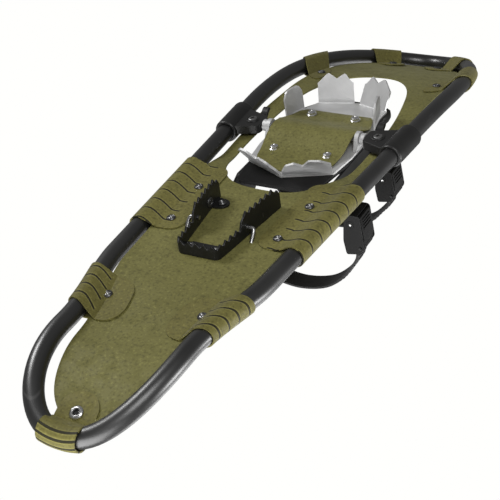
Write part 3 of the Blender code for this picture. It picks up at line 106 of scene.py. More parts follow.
# each ramp holds the y where a change starts and the y where it ends
DECK_RISE_RAMP = (30, -15)
DECK_TOE_RAMP = (-112, -167)
DECK_TAIL_RAMP = (195, 285)
SIDE_GAP = 3
TAIL_GAP_MORE = 3.8
TOE_GAP_MORE = 5
TAIL_GAP_RAMP = (255, 330)
TOE_GAP_RAMP = (-100, -160)
TIP_GAP_RAMP = (-320, -220)
OPENING_MIDDLE = -60
OPENING_REAR = 110
OPENING_FRONT = 172
OPENING_HALF_WIDTH = 64
OPENING_REAR_POWER = 3.0
OPENING_FRONT_POWER = 2.25
DENSE_TAIL = 60  # length at the tail over which the deck's rows draw together

ROD_RADIUS = 3
PLATE_BOTTOM = 6.5
PLATE_THICK = 2
PLATE_MIDDLE = PLATE_BOTTOM + PLATE_THICK / 2
COVER_THICK = 1.2
FOOT_BOTTOM = PLATE_BOTTOM + PLATE_THICK + GAP
FOOT_THICK = 3.6
FOOT_TOP = FOOT_BOTTOM + FOOT_THICK
BEND_START = -112
BEND_SLOPE = 0.21
STRAP_HALF = 10.5
STRAP_THICK = 2.2


# ---- material nodes
class Nodes:
    """Small wrapper that adds shader nodes and links them by socket."""

    def __init__(self, name):
        self.material = bpy.data.materials.new(name)
        self.material.use_nodes = True
        self.tree = self.material.node_tree
        self.shader = self.tree.nodes["Principled BSDF"]
        self.where = self.add("ShaderNodeTexCoord").outputs["Object"]

    def add(self, kind, **values):
        node = self.tree.nodes.new(kind)
        for key, value in values.items():
            if hasattr(node, key):
                setattr(node, key, value)
            else:
                self.feed(node.inputs[key.replace("_", " ")], value)
        return node

    def feed(self, socket, value):
        if isinstance(value, bpy.types.NodeSocket):
            self.tree.links.new(value, socket)
        else:
            socket.default_value = value

    def maths(self, operation, first, second=0.0):
        node = self.add("ShaderNodeMath", operation=operation)
        self.feed(node.inputs[0], first)
        self.feed(node.inputs[1], second)
        return node.outputs[0]

    def noise(self, scale, detail, stretch=None):
        where = self.where
        if stretch:
            where = self.add("ShaderNodeMapping", Vector=where, Scale=stretch).outputs[0]
        return self.add("ShaderNodeTexNoise", Vector=where, Scale=scale, Detail=detail).outputs[0]

    def ramp(self, value, low, high, to_low, to_high):
        """Smooth change from to_low to to_high while value goes from low to high."""
        node = self.add("ShaderNodeMapRange", Value=value, interpolation_type="SMOOTHSTEP")
        limits = {"From Min": low, "From Max": high, "To Min": to_low, "To Max": to_high}
        for socket, limit in limits.items():
            self.feed(node.inputs[socket], limit)
        return node.outputs[0]

    def mix(self, share, first, second):
        node = self.add("ShaderNodeMix", data_type="RGBA")
        self.feed(node.inputs["Factor"], share)
        self.feed(node.inputs[6], first)
        self.feed(node.inputs[7], second)
        return node.outputs[2]

    def bump(self, heights):
        """Stack (height, strength, distance in mm) bumps and feed the normal."""
        normal = None
        for height, strength, distance in heights:
            node = self.add("ShaderNodeBump", Height=height, Strength=strength, Distance=distance * MM)
            if normal is not None:
                self.feed(node.inputs["Normal"], normal)
            normal = node.outputs[0]
        self.feed(self.shader.inputs["Normal"], normal)

    def set(self, **values):
        for key, value in values.items():
            self.feed(self.shader.inputs[key.replace("_", " ")], value)
        return self.material


def grey(level, warm=0.0):
    return (level * (1 + warm), level, level * (1 - warm), 1.0)


def shade(colour, factor):
    return tuple(c * factor for c in colour[:3]) + (1.0,)


def worn_edges(nodes, base, worn, amount):
    """Base colour that turns to the worn colour on sharp edges, broken up by noise."""
    bevel = nodes.add("ShaderNodeBevel", samples=4, Radius=0.6 * MM).outputs[0]
    true = nodes.add("ShaderNodeNewGeometry").outputs["Normal"]
    cosine = nodes.add("ShaderNodeVectorMath", operation="DOT_PRODUCT")
    nodes.feed(cosine.inputs[0], bevel)
    nodes.feed(cosine.inputs[1], true)
    edge = nodes.ramp(cosine.outputs["Value"], 0.86, 0.99, 1.0, 0.0)
    patchy = nodes.ramp(nodes.noise(160, 5), 0.42, 0.62, 0.0, amount)
    return nodes.mix(nodes.maths("MULTIPLY", edge, patchy), base, worn)


def pressed_lines(nodes, spacing, axis, reach):
    """Distance in metres from the nearest pressed line, measured on the flap's own u and v."""
    flap = nodes.add("ShaderNodeSeparateXYZ")
    nodes.feed(flap.inputs[0], nodes.add("ShaderNodeUVMap", uv_map="flap").outputs[0])
    run, cross = flap.outputs[axis], flap.outputs[1 - axis]
    sway = nodes.maths("SINE", nodes.maths("MULTIPLY", cross, 150.0))
    size = 0.1 * MM
    if axis == 0:
        size = nodes.ramp(cross, 34 * MM, 46 * MM, 0.3 * MM, 2.4 * MM)
    run = nodes.maths("ADD", run, nodes.maths("MULTIPLY", sway, size))
    run = nodes.maths("ADD", run, spacing / 2)
    away = nodes.maths("PINGPONG", run, spacing / 2)
    past_end = nodes.ramp(flap.outputs[1], reach, reach + 1 * MM, 0.0, spacing)
    return nodes.maths("ADD", away, past_end)


def fabric_look(name, colour, light, lines=None):
    """Coated fabric: fine weave, mottling, sheen, and thin pressed lines if asked for; each line is
    painted shade in its crease beside a band of painted highlight on its ridge.

    lines is None or (spacing, axis, reach) in millimetres: axis 0 draws them at even steps
    along the tube, axis 1 at even steps across it, and they stop at reach.
    """
    nodes = Nodes(name)
    small = nodes.noise(95, 6)
    speck = nodes.noise(420, 3)
    tone = nodes.mix(nodes.ramp(nodes.noise(9, 3), 0.3, 0.7, 0.0, 1.0), colour, light)
    tone = nodes.mix(nodes.ramp(small, 0.5, 0.75, 0.0, 0.4), tone, shade(colour, 0.72))
    tone = nodes.mix(nodes.ramp(speck, 0.52, 0.68, 0.0, 0.5), tone, shade(colour, 0.4))
    tone = nodes.mix(nodes.ramp(speck, 0.3, 0.42, 0.35, 0.0), tone, shade(light, 1.7))
    weave = []
    for axis_name in ("X", "Y"):
        threads = {"bands_direction": axis_name, "Scale": 520, "Distortion": 0.6}
        wave = nodes.add("ShaderNodeTexWave", Vector=nodes.where, **threads)
        weave.append(wave.outputs["Fac"])
    cloth = nodes.maths("MULTIPLY", *weave)
    bumps = [(cloth, 0.22, 0.15), (speck, 0.3, 0.25), (nodes.noise(60, 5), 0.2, 0.6)]
    rough = nodes.ramp(small, 0.3, 0.7, 0.5, 0.66)
    if lines:
        spacing, axis, reach = lines
        away = pressed_lines(nodes, spacing * MM, axis, reach * MM)
        line = nodes.ramp(away, 0.8 * MM, 1.3 * MM, 1.0, 0.0)
        ridge = nodes.maths("MULTIPLY", nodes.ramp(away, 1.2 * MM, 2.6 * MM, 1.0, 0.0), 0.4)
        # painted highlight: a lighter band along the ridge beside each pressed line
        tone = nodes.mix(ridge, tone, shade(light, 1.9))
        # painted shade: a near-black line down each crease; the same mask also dents the bump
        tone = nodes.mix(nodes.maths("MULTIPLY", line, 0.95), tone, shade(colour, 0.06))
        bumps.append((nodes.maths("SUBTRACT", 1.0, line), 0.8, 0.6))
    nodes.bump(bumps)
    nodes.set(Base_Color=tone, Roughness=rough, Sheen_Weight=0.06, Sheen_Roughness=0.5)
    return nodes.set(Specular_IOR_Level=0.22)


def moulded_look(name, level, roughness, grain, worn=0.35, shine=0.4):
    """Moulded plastic or rubber: fine grain, slight tone change and scuffed edges."""
    nodes = Nodes(name)
    broad = nodes.noise(22, 4)
    fine = nodes.noise(grain, 3)
    patches = nodes.ramp(broad, 0.35, 0.7, 0.0, 1.0)
    tone = nodes.mix(patches, grey(level), grey(level * 1.7, 0.02))
    tone = worn_edges(nodes, tone, grey(level * 7, 0.03), worn)
    nodes.bump([(fine, 0.16, 0.12), (broad, 0.12, 0.4)])
    rough = nodes.ramp(broad, 0.3, 0.75, roughness - 0.06, roughness + 0.1)
    return nodes.set(Base_Color=tone, Roughness=rough, Specular_IOR_Level=shine)


def metal_look(name, level, roughness, metallic, brushed):
    """Metal with a brushed grain, faint stains and brighter edges."""
    nodes = Nodes(name)
    grain = nodes.noise(240, 4, stretch=brushed)
    stain = nodes.noise(30, 5)
    stains = nodes.ramp(stain, 0.35, 0.65, 0.0, 1.0)
    tone = nodes.mix(stains, grey(level * 0.86), grey(level))
    tone = worn_edges(nodes, tone, grey(min(0.95, level * 1.5 + 0.08)), 0.5)
    nodes.bump([(grain, 0.14, 0.08), (stain, 0.08, 0.3)])
    rough = nodes.ramp(grain, 0.3, 0.7, roughness - 0.07, roughness + 0.1)
    return nodes.set(Base_Color=tone, Roughness=rough, Metallic=metallic)


def tube_look(name):
    """Black powder coat: satin, with orange-peel, dust and a few rubs."""
    nodes = Nodes(name)
    peel = nodes.noise(420, 2)
    dust = nodes.noise(14, 6)
    rub = nodes.noise(70, 8, stretch=(0.3, 0.3, 3.0))
    tone = nodes.mix(nodes.ramp(dust, 0.45, 0.75, 0.0, 0.6), grey(0.005), grey(0.013, 0.03))
    tone = nodes.mix(nodes.ramp(rub, 0.66, 0.8, 0.0, 0.5), tone, grey(0.07, 0.02))
    nodes.bump([(peel, 0.12, 0.06), (dust, 0.06, 0.4)])
    nodes.set(Base_Color=tone, Roughness=nodes.ramp(dust, 0.35, 0.7, 0.36, 0.45))
    return nodes.set(Specular_IOR_Level=0.85, Coat_Weight=0.2, Coat_Roughness=0.3)


OLIVE = (0.128, 0.119, 0.031, 1.0)
OLIVE_LIGHT = (0.172, 0.162, 0.050, 1.0)
FLAP_OLIVE = (0.120, 0.108, 0.027, 1.0)
FLAP_LIGHT = (0.165, 0.150, 0.042, 1.0)
PAPER_WHITE = (1.0, 1.0, 0.985, 1.0)
DECK_LOOK = fabric_look("deck_fabric", OLIVE, OLIVE_LIGHT)
FLAP_LINES = {"mid": (16, 0, 76), "side": (12, 0, 66), "tail": (6.5, 1, 50), "toe": None}
FLAP_LOOKS = {}
for where, lines in FLAP_LINES.items():
    FLAP_LOOKS[where] = fabric_look(f"flap_fabric_{where}", FLAP_OLIVE, FLAP_LIGHT, lines)
COVER_LOOK = fabric_look("cover_fabric", OLIVE, OLIVE_LIGHT)
TUBE_LOOK = tube_look("tube_coat")
PLASTIC_LOOK = moulded_look("black_nylon", 0.009, 0.38, 900)
FOOT_LOOK = moulded_look("foot_nylon", 0.008, 0.5, 700, 0.3, 0.16)
RUBBER_LOOK = moulded_look("strap_rubber", 0.009, 0.45, 1300, 0.2, 0.32)
ALLOY_LOOK = metal_look("crampon_alloy", 0.6, 0.5, 0.5, (1, 6, 1))
STEEL_LOOK = metal_look("plain_steel", 0.42, 0.3, 1.0, (8, 1, 1))
BLACK_STEEL_LOOK = metal_look("black_steel", 0.012, 0.4, 0.3, (1, 5, 1))
DARK_RIVET_LOOK = metal_look("dark_rivet", 0.09, 0.34, 0.8, (3, 3, 1))
# lighter metal; on the rivets' rolled centres it is partly a painted highlight for their glint
RIVET_CENTRE_LOOK = metal_look("rivet_centre", 0.3, 0.36, 1.0, (3, 3, 1))
BRIGHT_RIVET_LOOK = metal_look("bright_rivet", 0.7, 0.26, 1.0, (3, 3, 1))


# ---- mesh helpers
def piece(name, parts, body, node, smooth_degrees=35, bevel=0.0, welded=True):
    """Add one object of (verts, faces, look) parts on a body, standing for a CAD node."""
    mesh = bpy.data.meshes.new(name)
    all_verts, all_faces, face_looks, looks = [], [], [], []
    for verts, faces, look in parts:
        start = len(all_verts)
        all_verts += [tuple((v + LIFT) * MM) for v in verts]
        all_faces += [tuple(start + i for i in face) for face in faces]
        if look not in looks:
            looks.append(look)
        face_looks += [looks.index(look)] * len(faces)
    mesh.from_pydata(all_verts, [], all_faces)
    for look in looks:
        mesh.materials.append(look)
    mesh.polygons.foreach_set("material_index", face_looks)
    if welded:
        weld(mesh, 1e-6)
    made = bpy.data.objects.new(name, mesh)
    bpy.context.scene.collection.objects.link(made)
    mesh.shade_smooth()
    mesh.set_sharp_from_angle(angle=math.radians(smooth_degrees))
    if bevel:
        soften(made, bevel)
    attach(made, body)
    if node:
        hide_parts(node)
    return made


def weld(mesh, distance, drop_empty=False):
    """Merge the points of a mesh that coincide and turn all its faces outward."""
    shape = bmesh.new()
    shape.from_mesh(mesh)
    if drop_empty:
        bmesh.ops.dissolve_degenerate(shape, edges=shape.edges, dist=1e-6)
    bmesh.ops.remove_doubles(shape, verts=shape.verts, dist=distance)
    bmesh.ops.recalc_face_normals(shape, faces=shape.faces)
    shape.to_mesh(mesh)
    shape.free()


def soften(made, width):
    """Round the sharp edges of an object by a small bevel."""
    step = made.modifiers.new("round", "BEVEL")
    step.width = width * MM
    step.segments = 3
    step.limit_method = "ANGLE"
    step.angle_limit = math.radians(34)
    step.harden_normals = True


def direction(points, i):
    """From the point before point i of a line to the point after it."""
    return points[min(i + 1, len(points) - 1)] - points[max(i - 1, 0)]


def loft(rings, look, closed_path=False):
    """Join equal rings of points into a skin; end caps unless the path is closed."""
    count = len(rings[0])
    verts = [point for points in rings for point in points]
    faces = []
    last = len(rings) if closed_path else len(rings) - 1
    for i in range(last):
        a, b = i * count, ((i + 1) % len(rings)) * count
        for j in range(count):
            k = (j + 1) % count
            faces.append((a + j, a + k, b + k, b + j))
    if not closed_path:
        end = (len(rings) - 1) * count
        faces.append(tuple(range(count))[::-1])
        faces.append(tuple(end + j for j in range(count)))
    return verts, faces, look


def slab(upper, lower, look, is_open=None):
    """Close two equal grids of points, rows by columns, into a plate.

    The rim stays open between two points for which is_open holds.
    """
    rows, cols = len(upper), len(upper[0])
    top = [point for row in upper for point in row]
    base = len(top)
    faces = []
    for i in range(rows - 1):
        for j in range(cols - 1):
            a = i * cols + j
            faces.append((a, a + 1, a + cols + 1, a + cols))
            faces.append((base + a, base + a + cols, base + a + cols + 1, base + a + 1))
    rim = list(range(cols))
    rim += [i * cols + cols - 1 for i in range(1, rows)]
    rim += [(rows - 1) * cols + j for j in range(cols - 2, -1, -1)]
    rim += [i * cols for i in range(rows - 2, 0, -1)]
    for here, there in zip(rim, rim[1:] + rim[:1]):
        if not (is_open and is_open(top[here]) and is_open(top[there])):
            faces.append((here, base + here, base + there, there))
    return top + [point for row in lower for point in row], faces, look


def thick_sheet(grid, thickness, look):
    """Close a grid of points into a plate, thickened along the normals of its surface."""
    rows, cols = len(grid), len(grid[0])
    upper, lower = [], []
    for i in range(rows):
        half = []
        for j in range(cols):
            down = grid[min(i + 1, rows - 1)][j] - grid[max(i - 1, 0)][j]
            half.append(direction(grid[i], j).cross(down).normalized() * thickness / 2)
        upper.append([point + offset for point, offset in zip(grid[i], half)])
        lower.append([point - offset for point, offset in zip(grid[i], half)])
    return slab(upper, lower, look)


def prism(outline, low, high, place, look):
    """Extrude a flat outline between two heights; place turns (u, v, w) into a point."""
    return loft([[place(u, v, w) for u, v in outline] for w in (low, high)], look)


def plan(u, v, w):
    return Vector((u, v, w))


def side(u, v, w):
    """Outline drawn in the Y-Z plane, extruded along X."""
    return Vector((w, u, v))


def upright(u, v, w):
    """Outline drawn in the X-Z plane, extruded along Y."""
    return Vector((u, w, v))


def moved(x, y, z=0.0):
    return Matrix.Translation(Vector((x, y, z)))


def ring(centre, first, second, radius, steps):
    """Circle of points round centre in the plane of two unit directions."""
    angles = [2 * math.pi * k / steps for k in range(steps)]
    return [centre + (first * math.cos(a) + second * math.sin(a)) * radius for a in angles]


def arc(centre, radius, start_degrees, end_degrees, steps):
    points = []
    for i in range(steps + 1):
        angle = math.radians(start_degrees + (end_degrees - start_degrees) * i / steps)
        points.append((centre[0] + radius * math.cos(angle), centre[1] + radius * math.sin(angle)))
    return points


def rounded(outline, radius, steps=5):
    """Replace each corner of an outline by a small curve of about the given radius."""
    result = []
    count = len(outline)
    for i, here in enumerate(outline):
        ends = []
        for other in (outline[i - 1], outline[(i + 1) % count]):
            run = math.dist(other, here)
            share = min(radius, 0.45 * run) / run
            ends.append([h + (o - h) * share for h, o in zip(here, other)])
        for k in range(steps + 1):
            t = k / steps
            weights = ((1 - t) ** 2, 2 * t * (1 - t), t * t)
            mixed = zip(ends[0], here, ends[1])
            result.append(tuple(sum(w * p for w, p in zip(weights, trio)) for trio in mixed))
    return result


def turned(profile, place, look, steps=36):
    """Turn (radius, height) pairs about an axis; returns one part closed on itself."""
    across, along = Vector((1, 0, 0)), Vector((0, 1, 0))
    rings = []
    for radius, height in profile:
        flat = ring(Vector((0, 0, height)), across, along, radius, steps)
        rings.append([place @ point for point in flat])
    hollow = min(radius for radius, _ in profile) > 1.5
    return loft(rings, look, closed_path=hollow)


def curve_through(points, steps):
    """Smooth curve through points, with steps points between each pair."""
    result = []
    ends = [points[0], *points, points[-1]]
    for i in range(1, len(ends) - 2):
        for k in range(steps):
            t = k / steps
            row = []
            for a, b, c, d in zip(*ends[i - 1 : i + 3]):
                value = 2 * b + (c - a) * t + (2 * a - 5 * b + 4 * c - d) * t**2
                value += (3 * b - a - 3 * c + d) * t**3
                row.append(value / 2)
            result.append(tuple(row))
    result.append(tuple(points[-1]))
    return result


def mirrored(half, repeat_middle=False):
    """A half line that ends on the middle, followed by its mirror image."""
    back = half if repeat_middle else half[:-1]
    return half + [(-x, *rest) for x, *rest in reversed(back)]


def smooth_step(value):
    value = min(1.0, max(0.0, value))
    return value * value * (3 - 2 * value)


def eased(place, ramp):
    """Smooth share that goes from 0 at the ramp's start to 1 at its end."""
    start, end = ramp
    return smooth_step((place - start) / (end - start))


def between(corners, place):
    """Value at a place on a broken line of (place, value) corners."""
    for (p0, v0), (p1, v1) in zip(corners, corners[1:]):
        if p0 != p1 and min(p0, p1) <= place <= max(p0, p1):
            return v0 + (v1 - v0) * (p0 - place) / (p0 - p1)
    return 0.0


# ---- frame line
def lift(y):
    """Height of the frame line: the toe and the tail both curl up on an arc."""
    if y < TOE_LIFT_START:
        return TOE_LIFT_RADIUS - math.sqrt(TOE_LIFT_RADIUS**2 - (TOE_LIFT_START - y) ** 2)
    if y > TAIL_START:
        return TAIL_LIFT_RADIUS - math.sqrt(TAIL_LIFT_RADIUS**2 - (y - TAIL_START) ** 2)
    return 0.0


def body_half_width(y):
    share = (TAIL_START - y) / BODY_LENGTH
    soft = max(0.0, share - (1 - SOFT_SHARE)) ** 2 / (2 * SOFT_SHARE)
    flare = BODY_TAIL_HALF_WIDTH + BODY_FLARE * (share - soft)
    return TAIL_HALF_WIDTH + (flare - TAIL_HALF_WIDTH) * smooth_step(share / SHOULDER_SHARE)


def half_frame_line():
    """Right half of the tube centre line, from the tail centre to the toe centre."""
    points = []
    tail_steps, body_steps, toe_steps = 60, 90, 90
    for i in range(tail_steps):
        angle = QUARTER * i / tail_steps
        x = TAIL_HALF_WIDTH * math.sin(angle) ** (2 / TAIL_POWER)
        points.append((x, TAIL_START + TAIL_LENGTH * math.cos(angle) ** (2 / TAIL_POWER)))
    for i in range(body_steps):
        y = TAIL_START - BODY_LENGTH * i / body_steps
        points.append((body_half_width(y), y))
    toe_width = body_half_width(TOE_START)
    for i in range(toe_steps):
        angle = QUARTER * i / toe_steps
        points.append((toe_width * math.cos(angle), TOE_START - TOE_LENGTH * math.sin(angle)))
    return points + [(0.0, -HALF_LENGTH)]


HALF_LINE = half_frame_line()
LINE = [Vector((x, y, lift(y))) for x, y in mirrored(HALF_LINE)[:-1]]
STEPS = [0.0]
for here, there in zip(LINE, LINE[1:] + LINE[:1]):
    STEPS.append(STEPS[-1] + (there - here).length)
AROUND = STEPS[-1]


def line_point(s):
    s = s % AROUND
    low = bisect_right(STEPS, s, hi=len(LINE)) - 1
    share = (s - STEPS[low]) / (STEPS[low + 1] - STEPS[low])
    return LINE[low].lerp(LINE[(low + 1) % len(LINE)], share)


def line_frame(s):
    """Point, outward and upward directions of the frame line at distance s."""
    reach = 4
    along = (line_point(s + reach) - line_point(s - reach)).normalized()
    outward = UP.cross(along).normalized()
    return line_point(s), outward, along.cross(outward).normalized()


def nearest_station(x, y):
    return STEPS[min(range(len(HALF_LINE)), key=lambda i: math.dist(LINE[i].xy, (x, y)))]


def section_ring(s, radius, steps):
    return ring(*line_frame(s), radius, steps)


def own_side(station, hand):
    """Stations are measured on the right side; the left side's run back from the end."""
    return station if hand > 0 else AROUND - station


# ---- frame tube
TUBE_RINGS = 360
tube_rings = [section_ring(AROUND * i / TUBE_RINGS, TUBE_RADIUS, 40) for i in range(TUBE_RINGS)]
tube_skin = loft(tube_rings, TUBE_LOOK, closed_path=True)
piece("tube_shell", [tube_skin], "shoe_frame", "frame_tube")


# ---- deck
def deck_gap(y):
    """Open gap between the tube and the free edge of the deck; it closes again at the tip."""
    toe_share = eased(y, TOE_GAP_RAMP) * eased(y, TIP_GAP_RAMP)
    return SIDE_GAP + TAIL_GAP_MORE * eased(y, TAIL_GAP_RAMP) + TOE_GAP_MORE * toe_share


def deck_edge_line():
    """(y, half width) corners of the deck's free edge from tail to toe."""
    points = []
    for i, (x, y) in enumerate(HALF_LINE):
        outward = line_frame(STEPS[i])[1]
        inset = TUBE_RADIUS + deck_gap(y)
        points.append((y - outward.y * inset, max(0.0, x - outward.x * inset)))
    points[0] = (points[0][0], 0.0)
    points[-1] = (points[-1][0], 0.0)
    return points


EDGE_LINE = deck_edge_line()


def deck_height(y):
    """Middle of the deck sheet; it rises over the clamps and stays a little high to the toe."""
    rise = DECK_RISE * eased(y, DECK_RISE_RAMP) + DECK_TAIL_RISE * eased(y, DECK_TAIL_RAMP)
    rise += (DECK_TOE_RISE - DECK_RISE) * eased(y, DECK_TOE_RAMP)
    return lift(y) + rise + DECK_TIP_SLOPE * max(0.0, DECK_TIP_START - y)


def opening_half_width(y):
    length, power = OPENING_FRONT, OPENING_FRONT_POWER
    if y > OPENING_MIDDLE:
        length, power = OPENING_REAR, OPENING_REAR_POWER
    share = min(1.0, abs(y - OPENING_MIDDLE) / length)
    return OPENING_HALF_WIDTH * (1 - share**power) ** (1 / power)


def deck_rows():
    """Row positions from tail to toe, close together where the outline closes in."""
    rear_end, front_end = EDGE_LINE[0][0], EDGE_LINE[-1][0]
    opening_rear = OPENING_MIDDLE + OPENING_REAR
    opening_front = OPENING_MIDDLE - OPENING_FRONT
    tail_zone = rear_end - DENSE_TAIL
    front_run = front_end - opening_front
    rows = [rear_end - DENSE_TAIL * (1 - math.cos(QUARTER * i / 24)) for i in range(24)]
    rows += [tail_zone + (opening_rear - tail_zone) * i / 46 for i in range(46)]
    rows += [OPENING_MIDDLE + OPENING_REAR * math.cos(QUARTER * i / 30) for i in range(30)]
    rows += [OPENING_MIDDLE - OPENING_FRONT * math.sin(QUARTER * i / 40) for i in range(40)]
    rows += [opening_front + front_run * math.sin(QUARTER * i / 32) for i in range(33)]
    return rows


def deck_half(hand):
    """One side of the deck, from the opening or the middle line to the free edge."""
    columns = 14
    half_thick = Vector((0, 0, DECK_THICK / 2))
    grid = []
    for y in deck_rows():
        inner, outer = opening_half_width(y), between(EDGE_LINE, y)
        row = []
        for j in range(columns + 1):
            x = hand * (inner + (outer - inner) * j / columns)
            ripple = 0.5 * noise.noise(Vector((x * 0.022, y * 0.016, 3.1)))
            row.append(Vector((x, y, deck_height(y) + ripple)))
        grid.append(row)
    upper = [[point + half_thick for point in row] for row in grid]
    lower = [[point - half_thick for point in row] for row in grid]
    return slab(upper, lower, DECK_LOOK, is_open=lambda point: abs(point.x) < 0.01)


deck_parts = [deck_half(hand) for hand, _ in SIDES]
deck = piece("deck_sheet", deck_parts, "shoe_frame", "deck")
weld(deck.data, 1e-5, drop_empty=True)


# ---- flaps round the tube
def deck_across(centre, outward, up, across):
    """Height of the deck above the tube centre, in the tube's cross plane."""
    return (deck_height(centre.y + outward.y * across) - centre.z) / up.z


def flap_section(centre, outward, up, root, reach, landing):
    """Path of a flap as (outward, up) pairs: off the deck edge, round the tube and back."""
    radius = TUBE_RADIUS + FLAP_CLEAR + FLAP_THICK / 2
    rise = deck_across(centre, outward, up, -root) + 0.2
    turn = math.acos(radius / math.hypot(root, rise)) + math.atan2(rise, root)

    def under(across):
        here = deck_across(centre, outward, up, -across)
        slope = here - deck_across(centre, outward, up, -across - 1)
        return here - (DECK_THICK / 2 + GAP + FLAP_THICK / 2) * math.hypot(1, slope)

    low_tilt = math.atan2(-under(landing), landing)
    low_turn = math.acos(radius / math.hypot(landing, under(landing))) + low_tilt
    points = [(-root, rise)]
    points += arc((0, 0), radius, 180 - math.degrees(turn), math.degrees(low_turn) - 180, 26)
    for i in range(13):
        across = landing + (reach - landing) * i / 12
        points.append((-across, under(across)))
    return points


def straight_frame(offset):
    """Like line_frame at the tail, for a strap whose sides stay parallel."""
    centre = line_point(offset)
    centre.x = offset
    centre.y = 0.35 * centre.y + 0.65 * HALF_LENGTH
    return centre, Vector((0, 1, 0)), UP


def build_flap(name, look, centre_s, length, reach, rounds, skew, segments, straight=False):
    """One deck flap round the tube, with u and v in metres for its pressed lines.

    rounds holds the end radius on the tail side and on the toe side of the flap.
    """
    frame_at = straight_frame if straight else line_frame
    landing = TUBE_RADIUS + (TAB_LANDING if straight else FLAP_LANDING)
    grid, flat_uv = [], []
    for i in range(segments + 1):
        share = 0.5 - 0.5 * math.cos(math.pi * i / segments)
        from_side = length * min(share, 1 - share)
        tail_side = (share < 0.5) == (centre_s <= AROUND / 2)
        end_round = rounds[0] if tail_side else rounds[1]
        s = centre_s + length * (share - 0.5)
        centre, outward, up = frame_at(s)
        root = TUBE_RADIUS + deck_gap(centre.y) + FLAP_ROOT
        away = max(0.0, end_round - from_side)
        cut_back = end_round - math.sqrt(end_round**2 - away**2)
        far = max(reach - cut_back, landing + FLAP_SHORTEST)
        row, run = [], 0.0
        for k, (across, height) in enumerate(flap_section(centre, outward, up, root, far, landing)):
            here, out_here, up_here = frame_at(s - skew * across)
            on_deck = k == 0 or across < 0.1 - landing
            if on_deck:
                height += deck_across(here, out_here, up_here, across)
                height -= deck_across(centre, outward, up, across)
            point = here + out_here * across + up_here * height
            if on_deck:
                point.z += 0.25 * noise.noise(point * 0.04)
            if row:
                run += (point - row[-1]).length
            row.append(point)
            flat_uv.append((length * (share - 0.5) * MM, run * MM))
        grid.append(row)
    sheet = thick_sheet(grid, FLAP_THICK, look)
    flap = piece(name, [sheet], "shoe_frame", None, 50, 0.25, False)
    layer = flap.data.uv_layers.new(name="flap")
    for loop in flap.data.loops:
        layer.data[loop.index].uv = flat_uv[loop.vertex_index % len(flat_uv)]


CORNER_SKEW = 1.05
FRONT_SKEW = 0.25
SIDE_STATION = nearest_station(body_half_width(238), 238)
MID_STATION = nearest_station(body_half_width(84), 84)
CORNER_STATION = nearest_station(90, -246)
FRONT_STATION = nearest_station(50, -346)
FLAPS = {  # look, station, length, reach, end rounds, skew, segments
    "side": ("side", SIDE_STATION, 50, 40, (25, 14), 0.34, 26),
    "mid": ("mid", MID_STATION, 110, 41, (14, 12), 0.0, 40),
    "corner": ("toe", CORNER_STATION, 43, 35, (14, 14), CORNER_SKEW, 22),
    "front": ("toe", FRONT_STATION, 38, 45, (14, 14), FRONT_SKEW, 22),
}
build_flap("flap_tail", FLAP_LOOKS["tail"], 0.0, 36, 38, (17.9, 17.9), 0.0, 30, straight=True)
for hand, side_name in SIDES:
    for flap_name, (look, station, *shape, skew, segments) in FLAPS.items():
        name = f"flap_{flap_name}_{side_name}"
        centre = own_side(station, hand)
        build_flap(name, FLAP_LOOKS[look], centre, *shape, -hand * skew, segments)


# ---- fasteners
def deck_place(x, y):
    """Frame standing on the deck surface at (x, y), Z normal to the sheet."""
    slope = deck_height(y + 0.5) - deck_height(y - 0.5)
    return moved(x, y, deck_height(y)) @ Matrix.Rotation(math.atan(slope), 4, "X")


def node_place(node):
    """Frame on the axis of an upright CAD node, and the heights of the node's ends."""
    low, high = cad_box(node)
    middle = (low + high) / 2
    return moved(middle.x, middle.y), low.z, high.z


def below_flap(station, skew, inward):
    """(x, y) at a distance inward from the frame line, on the middle of a skewed flap."""
    centre, outward, _ = line_frame(station - skew * inward)
    return centre.x - outward.x * inward, centre.y - outward.y * inward


def headed_rivet(name, place, low, head, back):
    """Rivet with a dished, rolled head below the deck and a small washer head above it.

    rolled, centre and washer hold (share of the head's or back's radius, height) pairs.
    """
    low_end, high = place @ moved(0, 0, low), DECK_THICK / 2 - low
    rolled = [(0.42, -0.6), (0.58, -1.4), (0.72, -1.75), (0.9, -1.3), (1, -0.5), (0.97, 0)]
    washer = [(1, high), (0.94, high + 0.6), (0.6, high + 1.1)]
    centre = [(0.18, -1.5), (0.3, -1), (0.4, -1.4), (0.52, -1.2), (0.56, -0.6)]
    outside = [(head * share, z) for share, z in rolled] + [(1.7, 0), (1.7, high)]
    outside += [(back * share, z) for share, z in washer] + [(0.2, high + 1.15)]
    inside = [(0.15, -0.8)] + [(head * share, z) for share, z in centre]
    # the lighter centre ring is partly the grey of the rolled metal and partly a painted highlight for
    # the glint on it
    parts = [turned(outside, low_end, DARK_RIVET_LOOK), turned(inside, low_end, RIVET_CENTRE_LOOK)]
    piece(f"{name}_head", parts, "shoe_frame", name)


DECK_RIVETS = {
    "side": (46.2, 236),
    "mid_rear": (54.5, 121),
    "mid_front": (58, 66),
    "corner": below_flap(CORNER_STATION, CORNER_SKEW, 25.5),
    "front": below_flap(FRONT_STATION, FRONT_SKEW, 31),
}
FLAP_LOW = -DECK_THICK / 2 - GAP - FLAP_THICK
for hand, side_name in SIDES:
    for spot_name, (x, y) in DECK_RIVETS.items():
        place = deck_place(hand * x, y)
        headed_rivet(f"rivet_{spot_name}_{side_name}", place, FLAP_LOW - 0.15, 4.4, 2.8)
    for where in ("front", "rear"):
        name = f"cleat_rivet_{where}_{side_name}"
        place, low, _ = node_place(name)
        headed_rivet(name, place, low + 1.6, 4, 3.6)

